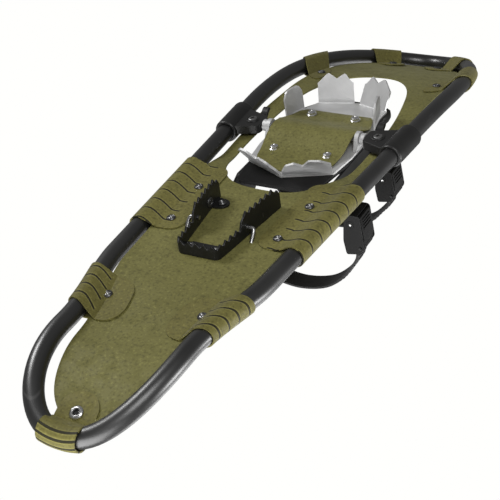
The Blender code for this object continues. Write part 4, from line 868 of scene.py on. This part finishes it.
EYELET_Y = 351
eyelet_place = deck_place(0, EYELET_Y)
low, high = FLAP_LOW - 0.4, DECK_THICK / 2 + 0.3
eyelet = [(2.6, low - 0.4), (2.9, low - 1.2), (3.7, low - 1.5), (4.8, low - 1.2)]
eyelet += [(5.8, low - 0.5), (6, low), (3.6, low), (3.6, high), (5.4, high)]
eyelet += [(5.2, high + 0.7), (2.6, high + 0.8)]
# painted shade: the black disc stands for the dark inside of the hole
hole_shade_disc = [(0.1, low), (2.8, low), (2.8, high), (0.1, high)]  # the hole is drawn as a black disc
eyelet_parts = [turned(eyelet, eyelet_place, BRIGHT_RIVET_LOOK), turned(hole_shade_disc, eyelet_place, FOOT_LOOK)]
piece("eyelet_ring", eyelet_parts, "shoe_frame", "tail_eyelet")

# ---- pivot clamps
CLAMP_LENGTH = 46
LUG_LOW = PIVOT_Z - 4.6
LUG_HIGH = PIVOT_Z + 4.6
LUG_TIP = 56.5
SCREW_X = 69
PIVOT_TUBE_X = body_half_width(PIVOT_Y)
PIVOT_STATION = nearest_station(PIVOT_TUBE_X, PIVOT_Y)
# (share of the clamp's length, height above the tube) pairs at one end of the sleeve
CLAMP_REAR_END = [(0.5, 0.3), (0.5, 2.2), (0.48, 3.0), (0.45, 3.35), (0.2, 3.4)]
CLAMP_PROFILE = mirrored(CLAMP_REAR_END, repeat_middle=True)[::-1]
# (x, y from the rod) of the lug's rear half, and (y, z) of the finger
LUG_HALF = [(PIVOT_TUBE_X - 5, 21), (LUG_TIP + 13, 15), (LUG_TIP + 1, 11), (LUG_TIP, 7)]
FINGER = [(-76, -4), (-79, -8), (-83, -10), (-86, -9.4), (-86, -7), (-82, -5), (-78, -1)]


def clamp(hand, clamp_name):
    """Sleeve round the tube with a lug for the rod, a screw boss and a finger in front."""
    middle = own_side(PIVOT_STATION, hand)
    rings = []
    for share, proud in CLAMP_PROFILE:
        rings.append(section_ring(middle + CLAMP_LENGTH * share, TUBE_RADIUS + proud, 56))
    parts = [loft(rings, PLASTIC_LOOK, closed_path=True)]
    lug = LUG_HALF + [(x, -y) for x, y in reversed(LUG_HALF)]
    lug = rounded([(x, PIVOT_Y + y) for x, y in lug], 3)
    lug = [(hand * x, y) for x, y in lug]
    parts.append(prism(lug, LUG_LOW, LUG_HIGH, plan, PLASTIC_LOOK))
    boss = [(3, 1), (7, 1), (7, -0.6), (6.4, -1.1), (5.2, -1.1), (5, -0.2), (3, -0.1)]
    boss_place = moved(hand * SCREW_X, PIVOT_Y, LUG_LOW)
    parts.append(turned(boss, boss_place, PLASTIC_LOOK))
    finger_ends = sorted((hand * 61, hand * 67.5))
    parts.append(prism(rounded(FINGER, 1.6), *finger_ends, side, PLASTIC_LOOK))
    piece(f"{clamp_name}_body", parts, "shoe_frame", clamp_name, 40, 0.7)


def clamp_screw(hand, screw_name):
    """Domed screw with a cross recess, shown as a dark cross of painted shade on the head."""
    place = moved(hand * SCREW_X, PIVOT_Y, LUG_LOW)
    top = LUG_HIGH - LUG_LOW
    head = [(0.3, -1.7), (1.9, -1.9), (3.6, -1.7), (4.4, -1.2), (4.7, -0.3), (2.2, 0)]
    head += [(2.2, top + 0.1), (3.6, top + 0.1), (3.4, top + 0.8), (0.3, top + 0.9)]
    parts = [turned(head, place, RIVET_CENTRE_LOOK)]

    def on_head(u, v, w):
        return place @ Vector((u, v, w))

    # painted shade: dark bars where the recess would hold shade
    for a, b in ((2.2, 0.5), (0.5, 2.2)):
        bar = [(a, b), (-a, b), (-a, -b), (a, -b)]
        parts.append(prism(bar, -2.0, -1.5, on_head, FOOT_LOOK))
    piece(f"{screw_name}_head", parts, "shoe_frame", screw_name)


for hand, side_name in SIDES:
    clamp(hand, f"pivot_clamp_{side_name}")
    clamp_screw(hand, f"clamp_screw_{side_name}")

ROD_HALF = LUG_TIP + 6.6
EAR_INNER = 46.6
EAR_OUTER = 50.6
SPACER_RADIUS = 6
across_place = moved(0, PIVOT_Y, PIVOT_Z) @ Matrix.Rotation(QUARTER, 4, "Y")
rod_half = [(0.1, -ROD_HALF), (2, -ROD_HALF), (ROD_RADIUS, 1 - ROD_HALF)]
rod = rod_half + [(ROD_RADIUS, 0.0)] + [(radius, -x) for radius, x in reversed(rod_half)]
rod_parts = [turned(rod, across_place, STEEL_LOOK)]
piece("pivot_rod_bar", rod_parts, "shoe_frame", "pivot_rod")
for hand, side_name in SIDES:
    start, end = EAR_OUTER + GAP, LUG_TIP - GAP
    inner, outer = ROD_RADIUS + GAP, SPACER_RADIUS
    profile = [(inner, start), (outer - 0.6, start), (outer, start + 0.6)]
    profile += [(outer, end - 0.6), (outer - 0.6, end), (inner, end)]
    profile = [(radius, hand * x) for radius, x in profile]
    name = f"pivot_spacer_{side_name}"
    collar = turned(profile, across_place, ALLOY_LOOK)
    piece(f"{name}_ring", [collar], "shoe_frame", name)

# ---- crampon
CHEVRON_REAR = 12
CHEVRON_REAR_SIDE = -8
CHEVRON_FRONT = -166
CHEVRON_FRONT_SIDE = -150
# the side lines of the plates hold (y, half width) corners from the rear to the front
CRAMPON_SIDE = [(CHEVRON_REAR, 0.0), (CHEVRON_REAR_SIDE, 46.5), (-40, 50.6), (-86, 50.6)]
CRAMPON_SIDE += [(-97, 49), (-124, 43), (CHEVRON_FRONT_SIDE, 39.5), (CHEVRON_FRONT, 0.0)]
FOLD_RADIUS = 3
FRONT_LEAN = 0.5
SIDE_LEAN = 0.05
REAR_LEAN = 0.75  # the rear teeth sweep back as they go down
# (share along the edge, depth) of each row of teeth
FRONT_TEETH = [(0.0, 21), (0.06, 22), (0.22, 29.5), (0.28, 28.5), (0.46, 24.5), (0.66, 29.5)]
FRONT_TEETH += [(0.72, 29), (0.95, 21.5), (1.0, 20)]
SIDE_TOOTH = [(0.0, 22), (0.12, 27.5), (0.22, 29), (0.8, 28), (0.9, 26), (1.0, 20)]
REAR_TEETH = [(0.0, 17), (0.2, 23.5), (0.42, 24.5), (0.56, 16), (0.72, 21.5), (0.9, 18), (1.0, 8)]


def bend(y):
    """Toe-up bend shared by the crampon, the foot plate and what lies on them, softened."""
    run = BEND_START - y
    soft = 4
    if run <= -soft:
        return 0.0
    if run >= soft:
        return BEND_SLOPE * run
    return BEND_SLOPE * (run + soft) ** 2 / (4 * soft)


def plate_grid(corners, middle_z, columns, spacing):
    """Rows across a plate bounded by a broken side line, following the toe-up bend."""
    rows = []
    for (y0, _), (y1, _) in zip(corners, corners[1:]):
        count = max(1, round((y0 - y1) / spacing))
        rows += [y0 + (y1 - y0) * i / count for i in range(count)]
    rows.append(corners[-1][0])
    grid = []
    for y in rows:
        width = max(between(corners, y), 0.05)
        z = middle_z + bend(y)
        grid.append([Vector((width * (2 * j / columns - 1), y, z)) for j in range(columns + 1)])
    return grid


def tooth_drop(teeth, share):
    """Depth of a row of teeth at a share of its length, slightly rounded."""
    places = [min(1.0, max(0.0, share + step)) for step in (-0.012, 0.0, 0.012)]
    return sum(between(teeth, place) for place in places) / len(places)


def tooth_row(start, end, lean, teeth, steps):
    """Sheet folded down from the plate edge along start to end and cut to teeth."""
    along = Vector((end[0] - start[0], end[1] - start[1], 0))
    outward = along.normalized().cross(UP)
    fold_steps, flat_steps = 6, 8
    grid = []
    for i in range(steps + 1):
        u = i / steps
        y = start[1] + (end[1] - start[1]) * u
        base = Vector((start[0], start[1], PLATE_MIDDLE + bend(y))) + along * u
        column = []
        for k in range(fold_steps + 1):
            angle = QUARTER * k / fold_steps
            inward = outward * (math.sin(angle) - 1) * FOLD_RADIUS
            column.append(base + inward - UP * (1 - math.cos(angle)) * FOLD_RADIUS)
        for k in range(1, flat_steps + 1):
            depth = (tooth_drop(teeth, u) - FOLD_RADIUS) * k / flat_steps
            column.append(base + outward * lean * depth - UP * (FOLD_RADIUS + depth))
        grid.append(column)
    return thick_sheet(grid, PLATE_THICK, ALLOY_LOOK)


def crampon_parts():
    grid = plate_grid(CRAMPON_SIDE, PLATE_MIDDLE, 24, 5)
    parts = [thick_sheet(grid, PLATE_THICK, ALLOY_LOOK)]
    inner_front, outer_front = (3.5, CHEVRON_FRONT + 1.8), (38.5, CHEVRON_FRONT_SIDE + 0.6)
    side_front, side_rear = (43, -124), (49.4, -97)
    rear_inner, rear_outer = (1.5, CHEVRON_REAR - 1.2), (45.5, CHEVRON_REAR_SIDE + 0.4)
    rows = [
        (inner_front, outer_front, FRONT_LEAN, FRONT_TEETH, 50),
        (side_front, side_rear, SIDE_LEAN, SIDE_TOOTH, 30),
        (rear_outer, rear_inner, REAR_LEAN, REAR_TEETH, 50),
    ]
    for hand, _ in SIDES:
        for start, end, lean, teeth, steps in rows:
            ends = [(hand * x, y) for x, y in (start, end)]
            if hand < 0:
                ends = ends[::-1]
                teeth = [(1 - u, drop) for u, drop in reversed(teeth)]
            parts.append(tooth_row(*ends, lean, teeth, steps))
        ear = [(PIVOT_Y + 12, PLATE_BOTTOM + 1), (PIVOT_Y - 12, PLATE_BOTTOM + 1)]
        ear += [(PIVOT_Y - 8.5, PIVOT_Z + 2)] + arc((PIVOT_Y, PIVOT_Z), 7.5, 190, 350, 20)
        ear += [(PIVOT_Y + 8.5, PIVOT_Z + 2)]
        ear_ends = sorted((hand * EAR_INNER, hand * EAR_OUTER))
        parts.append(prism(ear, *ear_ends, side, ALLOY_LOOK))
    return parts


piece("crampon_plate", crampon_parts(), "binding", "crampon", 40, 0.35)

# ---- cover round the rod
COVER_MIDDLE = PLATE_BOTTOM - GAP - COVER_THICK / 2
COVER_LOWEST = PIVOT_Z - ROD_RADIUS - GAP - COVER_THICK / 2 - 0.6
COVER_BULGE = 25
COVER_SIDE = [(5, 8), (2, 16), (-4, 30), (-9, 37), (-16, 40.5), (-40, 44), (-73, 45.5)]
COVER_SIDE += [(-78, 48), (-92, 47.5), (-112, 41), (-119, 36)]


def cover_height(y):
    """The sheet swells round the rod and lies on the plate before and behind it."""
    share = math.exp(-(((y - PIVOT_Y) / COVER_BULGE) ** 2))
    return COVER_MIDDLE + bend(y) - (COVER_MIDDLE - COVER_LOWEST) * share


cover_rows, cover_half_columns = 72, 18
cover_grid = []
for i in range(cover_rows + 1):
    y = COVER_SIDE[0][0] + (COVER_SIDE[-1][0] - COVER_SIDE[0][0]) * i / cover_rows
    width, z = between(COVER_SIDE, y), cover_height(y)
    shares = [j / cover_half_columns - 1 for j in range(2 * cover_half_columns + 1)]
    cover_grid.append([Vector((width * share, y, z)) for share in shares])
cover_sheet = thick_sheet(cover_grid, COVER_THICK, COVER_LOOK)
piece("cover_sheet", [cover_sheet], "binding", "crampon_cover", 60, 0.3)

HEAD_PROUD = 2.4  # the rivet heads stand this much lower than in the CAD
for _, side_name in SIDES:
    for where in ("front", "rear"):
        name = f"crampon_rivet_{where}_{side_name}"
        place, low, high = node_place(name)
        low -= HEAD_PROUD
        top = high - low
        profile = [(0.2, 0.7), (1.3, 0.5), (1.7, 0), (2.8, 0), (4, 0.7), (4.3, 2.4), (5.2, 3.1)]
        profile += [(5.3, 4.3), (1.7, 4.5), (1.7, top - 0.9), (4, top - 0.9), (3.4, top - 0.2)]
        head = turned(profile + [(0.2, top)], place @ moved(0, 0, low), BRIGHT_RIVET_LOOK)
        piece(f"{name}_head", [head], "binding", name)

# ---- foot plate
FOOT_SIDE = [(26.5, 37), (25.9, 39.2), (24, 40.8), (20, 42), (-8, 46), (-30, 49.6)]
FOOT_SIDE += [(-118, 49.6), (-136, 47.6), (-150, 44), (-162, 38), (-170, 30), (-174, 22), (-176, 13)]
SOLE_TOP = FOOT_TOP + 3.2
SOLE_BARS = 14
FIRST_BAR = -98
BAR_STEP = 8.6
BAR_HALF = 13.5
BAR_WIDTH = 4.6
foot_grid = plate_grid(FOOT_SIDE, FOOT_BOTTOM + FOOT_THICK / 2, 28, 6)
pad = rounded([(15.5, 22), (-15.5, 22), (-15.5, -104), (15.5, -104)], 4)
foot_parts = [thick_sheet(foot_grid, FOOT_THICK, FOOT_LOOK)]
foot_parts.append(prism(pad, FOOT_TOP - 0.5, SOLE_TOP - 0.6, plan, FOOT_LOOK))
for i in range(SOLE_BARS):
    y = FIRST_BAR + BAR_STEP * i
    bar = [(BAR_HALF, y), (BAR_HALF, y + BAR_WIDTH), (-BAR_HALF, y + BAR_WIDTH), (-BAR_HALF, y)]
    foot_parts.append(prism(bar, SOLE_TOP - 1, SOLE_TOP, plan, RUBBER_LOOK))
piece("foot_plate_body", foot_parts, "binding", "foot_plate", 40, 0.6)


# ---- straps
def strap_sheet(path, across, thickness, ridge, pitch):
    """Strap along a path with raised ladder teeth on its outer face, as one solid grid."""
    columns = 6
    upper, lower = [], []
    run = 0.0
    last = path[0]
    for i, point in enumerate(path):
        run += (point - last).length
        last = point
        normal = direction(path, i).cross(across).normalized()
        phase = (run / pitch) % 1.0
        tooth = ridge * smooth_step(phase * 5) * smooth_step((0.62 - phase) * 8)
        row = [point + across * (2 * j / columns - 1) for j in range(columns + 1)]
        raised = [0.0] + [tooth] * (columns - 1) + [0.0]
        upper.append([p + normal * (thickness / 2 + more) for p, more in zip(row, raised)])
        lower.append([p - normal * thickness / 2 for p in row])
    return slab(upper, lower, RUBBER_LOOK)


WING_OUTER = 50
STRAP_X = WING_OUTER + 2 * GAP + STRAP_THICK / 2
BUCKLE_THICK = 2.4
CHEEK_INNER = 11.4
CHEEK_OUTER = 12.9
LOOP_FOOT = [(-STRAP_X, 21), (-STRAP_X, 35), (-54, 43)]
TOE_LOOP = [(-62, 50), (-69, 60), (-68, 74), (-58, 92), (-43, 108), (-24, 117), (0.0, 120)]
INSTEP_LOOP = [(-68, 50), (-75, 60), (-73.5, 78), (-64, 101), (-50, 120), (-30, 134), (0.0, 140)]
STRAPS = {  # y, left half of the loop, x and z of the buckle's top, length of the lever
    "toe": (-92, LOOP_FOOT + TOE_LOOP, 63, 78, 26),
    "instep": (-4, LOOP_FOOT + INSTEP_LOOP, 68, 84, 34),
}


def ladder_strap(prefix, y, loop_line, top_x, top_z, tongue):
    """Ribbed strap from its left foot over the boot and down behind the buckle's lever."""
    channel = top_x + 2.9
    key = loop_line + [(-x, z) for x, z in reversed(loop_line[6:-1])]
    key += [(channel - 0.5, top_z + 5), (channel, top_z - 6), (channel, top_z - 16)]
    key += [(channel + 0.6, top_z - tongue - 6)]
    path = [Vector((x, y, z)) for x, z in curve_through(key, 26)]
    sheet = strap_sheet(path, Vector((0, STRAP_HALF, 0)), STRAP_THICK, 1.1, 5.2)
    name = f"{prefix}_ladder_strap"
    piece(f"{name}_band", [sheet], "binding", name, 50)


def buckle_base(prefix, y, pin, top_x, top_z, tongue):
    """Band from the wing with two broad cheeks, a closed foot and a stud on each cheek."""
    foot_x = WING_OUTER + GAP + BUCKLE_THICK / 2
    inner_x = top_x - 8
    line = [(foot_x, 22), (foot_x, 37), (inner_x, 47), (top_x - 1.5, 58), (top_x, 66), (top_x, top_z)]
    grid = []
    for x, z in curve_through(line, 8):
        grid.append([Vector((x, y + 11.3 * (j / 4 - 1), z)) for j in range(9)])
    foot_z = pin.z - tongue - 2.5
    cheek = [(inner_x + 1, foot_z), (inner_x - 1.5, top_z - 14), (inner_x + 1, top_z + 1.5)]
    cheek += [(pin.x - 1, top_z - 1), (pin.x + 4, pin.z - 1), (pin.x + 1.2, foot_z + 2)]
    cheek = rounded(cheek + [(pin.x - 1, foot_z)], 2.4, 6)
    foot = [(inner_x + 1, foot_z + 0.3), (inner_x + 1, foot_z + 2)]
    foot += [(pin.x - 1.4, foot_z + 2), (pin.x - 1.4, foot_z + 0.3)]
    parts = [thick_sheet(grid, BUCKLE_THICK, FOOT_LOOK)]
    parts.append(prism(foot, y - 12, y + 12, upright, FOOT_LOOK))
    stud = [(0.2, -0.5), (4, -0.5), (4, 0.5), (1.6, 0.5), (0.2, 0.5)]
    dot = [(0.2, 0.2), (1.6, 0.2), (1.3, 1.1), (0.2, 1.3)]
    for hand, _ in SIDES:
        ends = sorted((y + hand * CHEEK_INNER, y + hand * CHEEK_OUTER))
        parts.append(prism(cheek, *ends, upright, FOOT_LOOK))
        spot = moved(top_x - 0.5, y + hand * CHEEK_OUTER, foot_z + 11)
        spot = spot @ Matrix.Rotation(-hand * QUARTER, 4, "X")
        parts.append(turned(stud, spot, FOOT_LOOK))
        parts.append(turned(dot, spot, BRIGHT_RIVET_LOOK))
    name = f"{prefix}_buckle_base"
    piece(f"{name}_body", parts, "binding", name, 40, 0.6)


def buckle_lever(prefix, y, pin, tongue):
    """Tapered lever hanging from its barrel on the pin, with four ribs for the thumb."""
    tip_z = pin.z - tongue
    lever = arc((pin.x, pin.z), 3.9, 60, 330, 20)
    lever += [(pin.x + 1.4, pin.z - 10), (pin.x - 1, tip_z + 3), (pin.x - 0.8, tip_z)]
    lever += [(pin.x + 1.4, tip_z), (pin.x + 4, pin.z - 10)]
    parts = [prism(lever, y - 10.9, y + 10.9, upright, FOOT_LOOK)]
    for i in range(4):
        z = tip_z + 3 + 3.2 * i
        x = pin.x + 1.4 + 2.6 * (z - tip_z) / (tongue - 10)
        rib = [(x - 1, z), (x + 0.9, z), (x + 0.9, z + 1.4), (x - 1, z + 1.4)]
        parts.append(prism(rib, y - 8, y + 8, upright, FOOT_LOOK))
    name = f"{prefix}_buckle_lever"
    piece(f"{name}_body", parts, f"{prefix}_lever", name, 40, 0.4)


for prefix, (y, loop_line, top_x, top_z, tongue) in STRAPS.items():
    pin = JOINTS[f"{prefix}_buckle_pivot"] - LIFT
    ladder_strap(prefix, y, loop_line, top_x, top_z, tongue)
    buckle_base(prefix, y, pin, top_x, top_z, tongue)
    buckle_lever(prefix, y, pin, tongue)

HEEL = JOINTS["heel_strap_pivot"] - LIFT
HEEL_X = WING_OUTER + GAP + STRAP_THICK / 2
HEEL_STRAP_HALF = 9
heel_half = [
    (HEEL_X, HEEL.y - 6.5, HEEL.z),
    (HEEL_X, HEEL.y + 9, HEEL.z),
    (HEEL_X - 1, 55, HEEL.z + 2),
    (42, 88, HEEL.z + 5),
    (22, 106, HEEL.z + 7),
    (0.0, 111, HEEL.z + 8),
]
heel_path = [Vector(point) for point in curve_through(mirrored(heel_half), 14)]
heel_sheet = strap_sheet(heel_path, UP * HEEL_STRAP_HALF, STRAP_THICK - 0.4, 0.35, 2.6)
piece("heel_strap_webbing", [heel_sheet], "heel_loop", "heel_strap", 50)

# ---- heel cleat
CLEAT_REAR = 165
CLEAT_FRONT = 72
CLEAT_REAR_HALF = 20.5
CLEAT_FRONT_HALF = 31.5
CLEAT_CORNER = 5
CLEAT_LOW = 14.5
CLEAT_STEP = 132
CLEAT_NOSE_CUT = 7
CLEAT_TOP = -DECK_THICK / 2 - 0.15
CLEAT_THICK = 2
TOOTH_PITCH = 7.8
TOOTH_DEPTH = 4
TOOTH_POWER = 1.3
CLEAT_SPACING = 0.65


def cleat_drop(y):
    """Depth of the cleat's blade: low at the rear, down to the ground in front, short at the nose."""
    step = eased(y, (CLEAT_STEP, CLEAT_STEP - 8))
    nose = eased(y, (CLEAT_FRONT + 12, CLEAT_FRONT - 2))
    return CLEAT_LOW + (GROUND - CLEAT_LOW) * step - CLEAT_NOSE_CUT * nose


def cleat_line():
    """Closely spaced (x, y, run) points of the cleat's plan line, from front end to front end."""
    corner = (CLEAT_REAR_HALF - CLEAT_CORNER, CLEAT_REAR - CLEAT_CORNER)
    half = [(CLEAT_FRONT_HALF, CLEAT_FRONT), (CLEAT_REAR_HALF, corner[1])]
    half += arc(corner, CLEAT_CORNER, 10, 90, 6) + [(0.0, CLEAT_REAR)]
    line = mirrored(half)
    fine, run = [], 0.0
    for here, there in zip(line, line[1:]):
        length = math.dist(here, there)
        count = max(1, round(length / CLEAT_SPACING))
        start, step = Vector((*here, run)), Vector((there[0] - here[0], there[1] - here[1], length))
        fine += [start + step * i / count for i in range(count)]
        run += length
    return fine + [Vector((*line[-1], run))]


def cleat_rings():
    fine = cleat_line()
    rings = []
    for i, (x, y, run) in enumerate(fine):
        along = direction(fine, i)
        along.z = 0
        outward = along.normalized().cross(UP) * CLEAT_THICK / 2
        from_middle = abs(run - fine[-1].z / 2)
        saw = abs(((from_middle / TOOTH_PITCH) % 1.0) * 2 - 1)
        drop = cleat_drop(y) - TOOTH_DEPTH * (1 - saw**TOOTH_POWER)
        base, tip = Vector((x, y, CLEAT_TOP)), Vector((x, y, -drop))
        shoulder = tip + UP * 0.35
        lower = [shoulder + outward, tip + outward * 0.6, tip - outward * 0.6, shoulder - outward]
        rings.append([base - outward, base + outward, *lower])
    return rings


cleat_parts = [loft(cleat_rings(), BLACK_STEEL_LOOK)]
foot_ends = (CLEAT_TOP - 2, CLEAT_TOP - 0.02)
stud = [(0.2, -1), (4.6, -1), (4.6, 1), (4, 1.7), (2.4, 1.7), (2, 1.1), (0.2, 1.1)]
front_foot = [(CLEAT_FRONT_HALF - 1.5, 94)] + arc((21.5, 85), 7, 110, 250, 16)
front_foot += [(CLEAT_FRONT_HALF - 0.6, 76)]
for hand, _ in SIDES:
    foot = [(hand * x, y) for x, y in front_foot]
    cleat_parts.append(prism(foot, *foot_ends, plan, BLACK_STEEL_LOOK))
    stud_place = moved(hand * 28.2, 95, -8.5) @ Matrix.Rotation(-hand * QUARTER, 4, "Y")
    cleat_parts.append(turned(stud, stud_place, DARK_RIVET_LOOK))
rear_half = [(CLEAT_REAR_HALF - 4, CLEAT_REAR - 0.5), (CLEAT_REAR_HALF, 158)]
rear_half += [(CLEAT_REAR_HALF + 0.8, 151), (14, 148)]
rear_foot = mirrored(rear_half, repeat_middle=True)
cleat_parts.append(prism(rear_foot, *foot_ends, plan, BLACK_STEEL_LOOK))
piece("heel_cleat_blade", cleat_parts, "shoe_frame", "heel_cleat", 30, 0.25)

# ---- heel lifter wire
LIFTER = JOINTS["heel_lifter_pivot"] - LIFT
LIFTER_HALF = 33
WIRE_RADIUS = 1.9
BAIL_REAR = 187
BAIL_Z = 5.2
half_wire = [
    (22.5, LIFTER.y, LIFTER.z),
    (29.6, LIFTER.y, LIFTER.z),
    (32.2, LIFTER.y + 0.7, LIFTER.z + 0.9),
    (LIFTER_HALF, LIFTER.y + 3, LIFTER.z + 3.6),
    (LIFTER_HALF, LIFTER.y + 9, LIFTER.z + 10.6),
    (LIFTER_HALF, LIFTER.y + 13.5, BAIL_Z - 1.2),
    (LIFTER_HALF, LIFTER.y + 19, BAIL_Z),
    (LIFTER_HALF, BAIL_REAR - 9, BAIL_Z),
    (LIFTER_HALF - 2.6, BAIL_REAR - 2.6, BAIL_Z),
    (LIFTER_HALF - 9, BAIL_REAR, BAIL_Z),
    (0.0, BAIL_REAR, BAIL_Z),
]


def wire_rings(points, radius, steps):
    rings = []
    normal = UP
    for i, point in enumerate(points):
        along = direction(points, i).normalized()
        normal = (normal - along * normal.dot(along)).normalized()
        rings.append(ring(point, normal, along.cross(normal), radius, steps))
    return rings


wire_path = [Vector(point) for point in curve_through(mirrored(half_wire), 5)]
wire_skin = loft(wire_rings(wire_path, WIRE_RADIUS, 20), STEEL_LOOK)
piece("heel_lifter_wire", [wire_skin], "lifter", "heel_lifter", 60)

# ---- parts kept from the frame
KEPT = {"tail_ferrule": STEEL_LOOK, "heel_buckle": PLASTIC_LOOK}
for _, side_name in SIDES:
    KEPT[f"binding_wing_{side_name}"] = PLASTIC_LOOK
    for fixing in ("toe_strap_rivet", "instep_strap_rivet", "heel_pivot"):
        KEPT[f"{fixing}_{side_name}"] = DARK_RIVET_LOOK
for prefix in STRAPS:
    KEPT[f"{prefix}_lever_pin"] = BLACK_STEEL_LOOK
for name, look in KEPT.items():
    kept = frame["nodes"][name]
    for material_slot in kept.material_slots:
        material_slot.material = look
    join = kept.modifiers.new("join", "WELD")
    join.merge_threshold = 0.01 * MM
    soften(kept, 0.45)

# ---- floor, light and camera
FLOOR_HALF = 6.0
floor_corners = [(-1, -1), (1, -1), (1, 1), (-1, 1)]
floor_mesh = bpy.data.meshes.new("floor")
floor_points = [(x * FLOOR_HALF, y * FLOOR_HALF, 0.0) for x, y in floor_corners]
floor_mesh.from_pydata(floor_points, [], [(0, 1, 2, 3)])
floor = bpy.data.objects.new("floor", floor_mesh)
bpy.context.scene.collection.objects.link(floor)
paint = Nodes("pale_floor")
paint.set(Base_Color=paint.mix(paint.noise(3, 4), grey(0.33), grey(0.36)), Roughness=0.8)
paint.set(Emission_Color=PAPER_WHITE, Emission_Strength=0.5, Specular_IOR_Level=0.1)
# the floor shows only to a camera above it, so light from below passes through
below = paint.add("ShaderNodeNewGeometry").outputs["Backfacing"]
to_camera = paint.add("ShaderNodeLightPath").outputs["Is Camera Ray"]
seen = paint.maths("MULTIPLY", to_camera, paint.maths("SUBTRACT", 1.0, below))
blend = paint.add("ShaderNodeMixShader")
paint.feed(blend.inputs[0], seen)
paint.feed(blend.inputs[1], paint.add("ShaderNodeBsdfTransparent").outputs[0])
paint.feed(blend.inputs[2], paint.shader.outputs[0])
paint.feed(paint.tree.nodes["Material Output"].inputs["Surface"], blend.outputs[0])
floor_mesh.materials.append(paint.material)

scene = bpy.context.scene
scene.view_settings.view_transform = "Standard"
world = bpy.data.worlds.new("studio")
scene.world = world
world.use_nodes = True
backdrop = world.node_tree.nodes["Background"]
backdrop.inputs["Color"].default_value = PAPER_WHITE
# white to the camera, dimmer as a light so that the lamps shape the surfaces
ray = world.node_tree.nodes.new("ShaderNodeLightPath")
strength = world.node_tree.nodes.new("ShaderNodeMapRange")
strength.inputs["To Min"].default_value = 0.2
world.node_tree.links.new(ray.outputs["Is Camera Ray"], strength.inputs["Value"])
world.node_tree.links.new(strength.outputs[0], backdrop.inputs["Strength"])

CAMERA_TARGET = (Vector((-15.2, 60.2, 63.6)) + LIFT) * MM
CAMERA_DISTANCE = 1.111
CAMERA_TURN = math.radians(-123.2)
CAMERA_RISE = math.radians(33.4)
CAMERA_ROLL = math.radians(171.7)
CAMERA_LENS = 83.8

level_forward = Vector((math.cos(CAMERA_TURN), math.sin(CAMERA_TURN), 0))
forward = level_forward * math.cos(CAMERA_RISE) + UP * math.sin(CAMERA_RISE)
level_right = forward.cross(UP).normalized()
level_up = level_right.cross(forward)
right = level_right * math.cos(CAMERA_ROLL) + level_up * math.sin(CAMERA_ROLL)
up = right.cross(forward)


def looking(place, direction, upward):
    """Matrix of an object at a place that looks along direction with the given up."""
    right_side = direction.cross(upward).normalized()
    turn = Matrix((right_side, right_side.cross(direction), -direction)).transposed()
    return Matrix.Translation(place) @ turn.to_4x4()


camera = bpy.data.objects.new("camera", bpy.data.cameras.new("camera"))
camera.data.lens = CAMERA_LENS
camera.data.sensor_width = 36
camera.data.clip_start = 0.01
camera.matrix_world = looking(CAMERA_TARGET - forward * CAMERA_DISTANCE, forward, up)
scene.collection.objects.link(camera)
scene.camera = camera


def add_light(name, direction, upward, distance, size, power):
    """Soft square light that looks at the middle of the shoe from the given direction."""
    light = bpy.data.objects.new(name, bpy.data.lights.new(name, "AREA"))
    light.data.shape = "SQUARE"
    light.data.size = size
    light.data.energy = power
    direction = direction.normalized()
    light.matrix_world = looking(CAMERA_TARGET + direction * distance, -direction, upward)
    light.visible_camera = False
    scene.collection.objects.link(light)


add_light("picture_light", up * 0.3 - forward * 0.9 + right * 0.1, right, 1.5, 0.7, 11)
add_light("tail_light", -forward * 0.6 - up * 0.8 - right * 0.4, right, 0.95, 0.9, 13.5)
add_light("left_light", up * 1.0 - right * 0.9 - forward * 0.1, up, 1.5, 0.4, 11)
add_light("right_light", right * 1.0 - up * 0.35 - forward * 0.1, up, 1.5, 0.4, 16)
add_light("top_light", Vector((0.3, -0.3, 1.0)), Vector((0, 1, 0)), 2.0, 1.4, 18)
